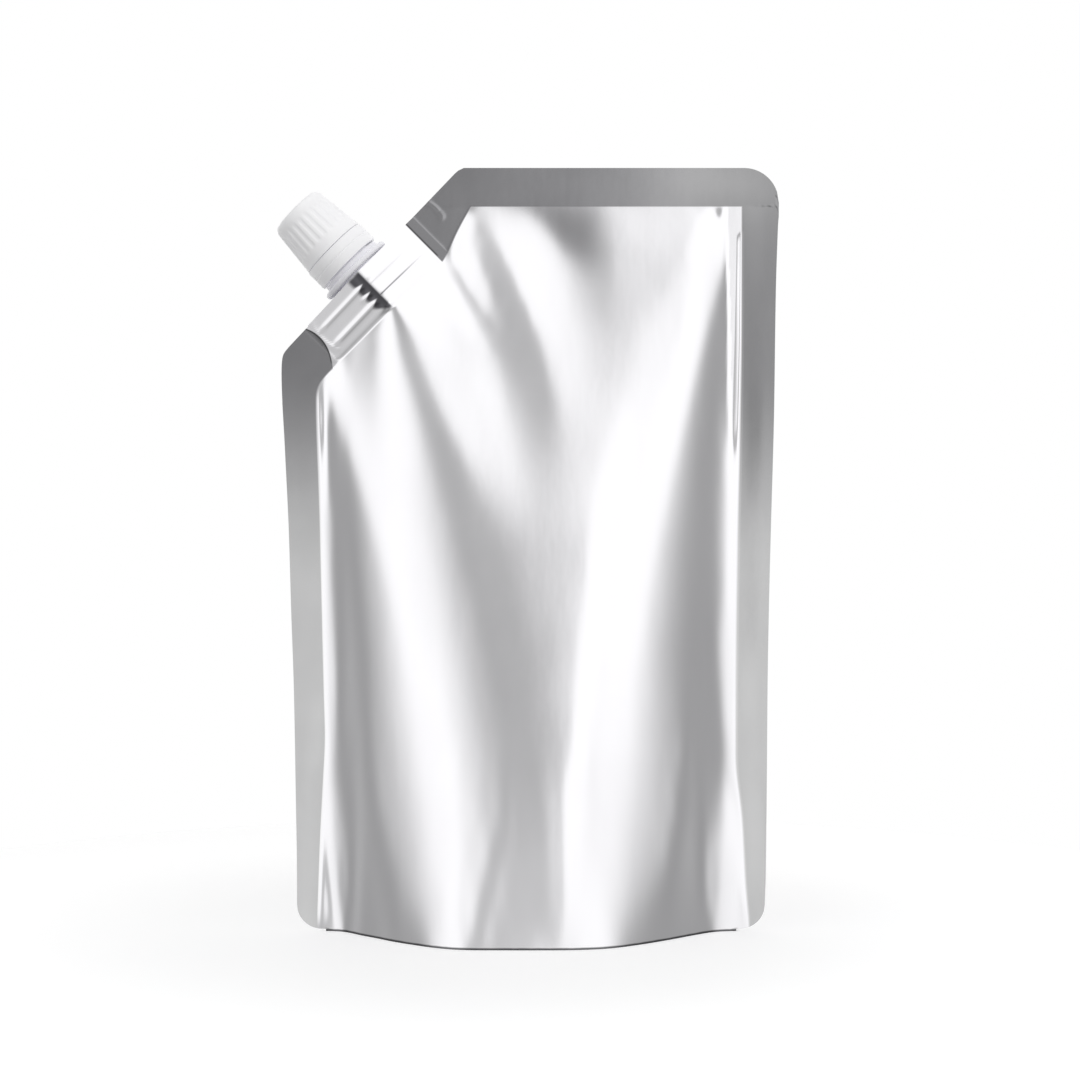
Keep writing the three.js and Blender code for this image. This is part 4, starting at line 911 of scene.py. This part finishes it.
def build_world():
    w = bpy.data.worlds.new("studio")
    bpy.context.scene.world = w
    w.use_nodes = True
    n = Nodes(w.node_tree)
    out = n.new("ShaderNodeOutputWorld")
    tc = n.new("ShaderNodeTexCoord")
    sep = n.new("ShaderNodeSeparateXYZ")
    n.link(tc.outputs["Generated"], sep.inputs[0])
    x, y, z = sep.outputs
    az = n.math("MULTIPLY", n.math("ARCTAN2", x, n.math("MULTIPLY", y, -1.0)), 180 / math.pi)
    el = n.math("MULTIPLY", n.math("ARCSINE", z), 180 / math.pi)
    sg = lambda v: n.math("DIVIDE", 1.0, n.math("ADD", 1.0, n.math("EXPONENT", n.math("MULTIPLY", v, -1.0))))
    ramp = n.new("ShaderNodeValToRGB")
    cr = ramp.color_ramp
    cr.interpolation = "LINEAR"
    lo, hi = -40.0, 60.0
    stops = [(-40.0, 0.45), (-25.0, 0.5)] + [(e, v) for e, v in FRONT]
    while len(cr.elements) > 1:
        cr.elements.remove(cr.elements[-1])
    cr.elements[0].position = (stops[0][0] - lo) / (hi - lo); cr.elements[0].color = (stops[0][1],) * 3 + (1,)
    for e, v in stops[1:]:
        k = cr.elements.new((e - lo) / (hi - lo)); k.color = (v, v, v, 1)
    n.link(n.map(el, lo, hi, 0, 1, "LINEAR"), ramp.inputs[0])
    front = n.new("ShaderNodeSeparateColor"); n.link(ramp.outputs[0], front.inputs[0]); front = front.outputs[0]
    absaz = n.math("ABSOLUTE", az)
    side = sg(n.math("DIVIDE", n.math("SUBTRACT", absaz, 70.0), 4.0))
    base = n.math("ADD", n.math("MULTIPLY", front, n.math("SUBTRACT", 1.0, side)), n.math("MULTIPLY", side, SIDE))
    low = n.math("SUBTRACT", 1.0, n.math("MULTIPLY", 1 - LOW, sg(n.math("DIVIDE", n.math("SUBTRACT", -10.0, el), 4.0))))
    def lobe(e, centre, width, soft_left, soft_right, strength):
        k = sg(n.math("DIVIDE", n.math("SUBTRACT", az, centre - width), soft_left * 0.5))
        k = n.math("MULTIPLY", k, sg(n.math("DIVIDE", n.math("SUBTRACT", centre + width, az), soft_right * 0.5)))
        k = n.math("MULTIPLY", k, low)
        return n.math("ADD", e, n.math("MULTIPLY", n.math("SUBTRACT", strength * 1.045, e), k))
    e = lobe(base, *LOBE_L)
    e = lobe(e, *LOBE_R)
    tk = sg(n.math("DIVIDE", n.math("SUBTRACT", el, TOP_LIGHT[0]), TOP_LIGHT[1] * 0.5))
    e = n.math("ADD", e, n.math("MULTIPLY", n.math("MAXIMUM", n.math("SUBTRACT", TOP_LIGHT[2], e), 0.0), tk))
    # low down the room is darker
    under = sg(n.math("DIVIDE", n.math("SUBTRACT", -19.0, el), 2.5))
    e = n.math("MULTIPLY", e, n.math("SUBTRACT", 1.0, n.math("MULTIPLY", under, UNDER)))
    # behind the pack the room is light
    back = sg(n.math("DIVIDE", n.math("SUBTRACT", absaz, 118.0), 7.0))
    e = n.math("ADD", e, n.math("MULTIPLY", n.math("MAXIMUM", n.math("SUBTRACT", 0.95, e), 0.0), back))
    lp = n.new("ShaderNodeLightPath")
    bg = n.new("ShaderNodeBackground"); n.link(e, bg.inputs["Color"])
    diffuse = n.math("ADD", 1.08, n.math("MULTIPLY", lp.outputs["Is Diffuse Ray"], DIFFUSE_LIFT))
    n.link(diffuse, bg.inputs["Strength"])
    white = n.new("ShaderNodeBackground"); white.inputs["Color"].default_value = (1, 1, 1, 1); white.inputs["Strength"].default_value = 1.0
    mix = n.new("ShaderNodeMixShader")
    n.link(lp.outputs["Is Camera Ray"], mix.inputs[0]); n.link(bg.outputs[0], mix.inputs[1]); n.link(white.outputs[0], mix.inputs[2])
    n.link(mix.outputs[0], out.inputs[0])


def area(name, loc, target, size, power, color=(1, 1, 1), visible_gloss=True):
    d = bpy.data.lights.new(name, "AREA")
    d.shape = "RECTANGLE"; d.size, d.size_y = size; d.energy = power; d.color = color
    d.use_shadow = False
    o = bpy.data.objects.new(name, d)
    bpy.context.scene.collection.objects.link(o)
    o.location = loc
    from mathutils import Vector
    o.rotation_euler = (Vector(target) - Vector(loc)).to_track_quat("-Z", "Y").to_euler()
    o.visible_glossy = visible_gloss
    return o


# ------------------------------------------------------------------ put together
cam_data = bpy.data.cameras.new("camera")
cam_data.lens = 97.99; cam_data.sensor_width = 36; cam_data.sensor_fit = "HORIZONTAL"
cam_data.clip_start = 0.05; cam_data.clip_end = 20
cam = bpy.data.objects.new("camera", cam_data)
bpy.context.scene.collection.objects.link(cam)
cam.location = (0.00243, -0.83067, 0.14467)
cam.rotation_euler = (math.radians(90 - 2.304), 0, 0)
bpy.context.scene.camera = cam
bpy.context.scene.view_settings.view_transform = "Standard"
bpy.context.scene.view_settings.look = "None"

build_world()
area("fill", (-0.70, -0.60, 0.20), (-0.06, 0, 0.17), (0.5, 0.5), 1.5, visible_gloss=False)
area("key", (0.5, -0.4, 0.6), (-0.03, 0, 0.15), (0.35, 0.35), KEY_POWER, visible_gloss=False)

film, natural, white, foam = film_material(), spout_material(), cap_material(), foam_material()

pouch = build_pouch()
pouch.data.materials.append(film)
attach(pouch, "pack"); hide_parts("pouch")

v, f = build_cap(); cap = piece("screw_cap", v, f, "cap", "cap", white)
v, f = build_band(); band = piece("tamper_ring", v, f, "pack", "tamper_band", white)
v, f = build_neck(); neck = piece("spout_neck", v, f, "pack", "spout", natural)
v, f = build_boat(); boat = piece("spout_boat", v, f, "pack", "spout", natural)
v, f = build_liner(); liner = piece("sealing_disc", v, f, "liner", "cap_liner", foam)
for ob in (cap, band, neck, boat, liner):
    fix_normals(ob)
    ob.data.set_sharp_from_angle(angle=math.radians(32))

floor = mesh_object("floor", [(0.24 * math.cos(2 * math.pi * i / 96), 0.24 * math.sin(2 * math.pi * i / 96), 0) for i in range(96)], [tuple(range(96))], smooth_shade=False)
floor.visible_diffuse = False
floor.visible_glossy = False
floor.data.materials.append(floor_material())
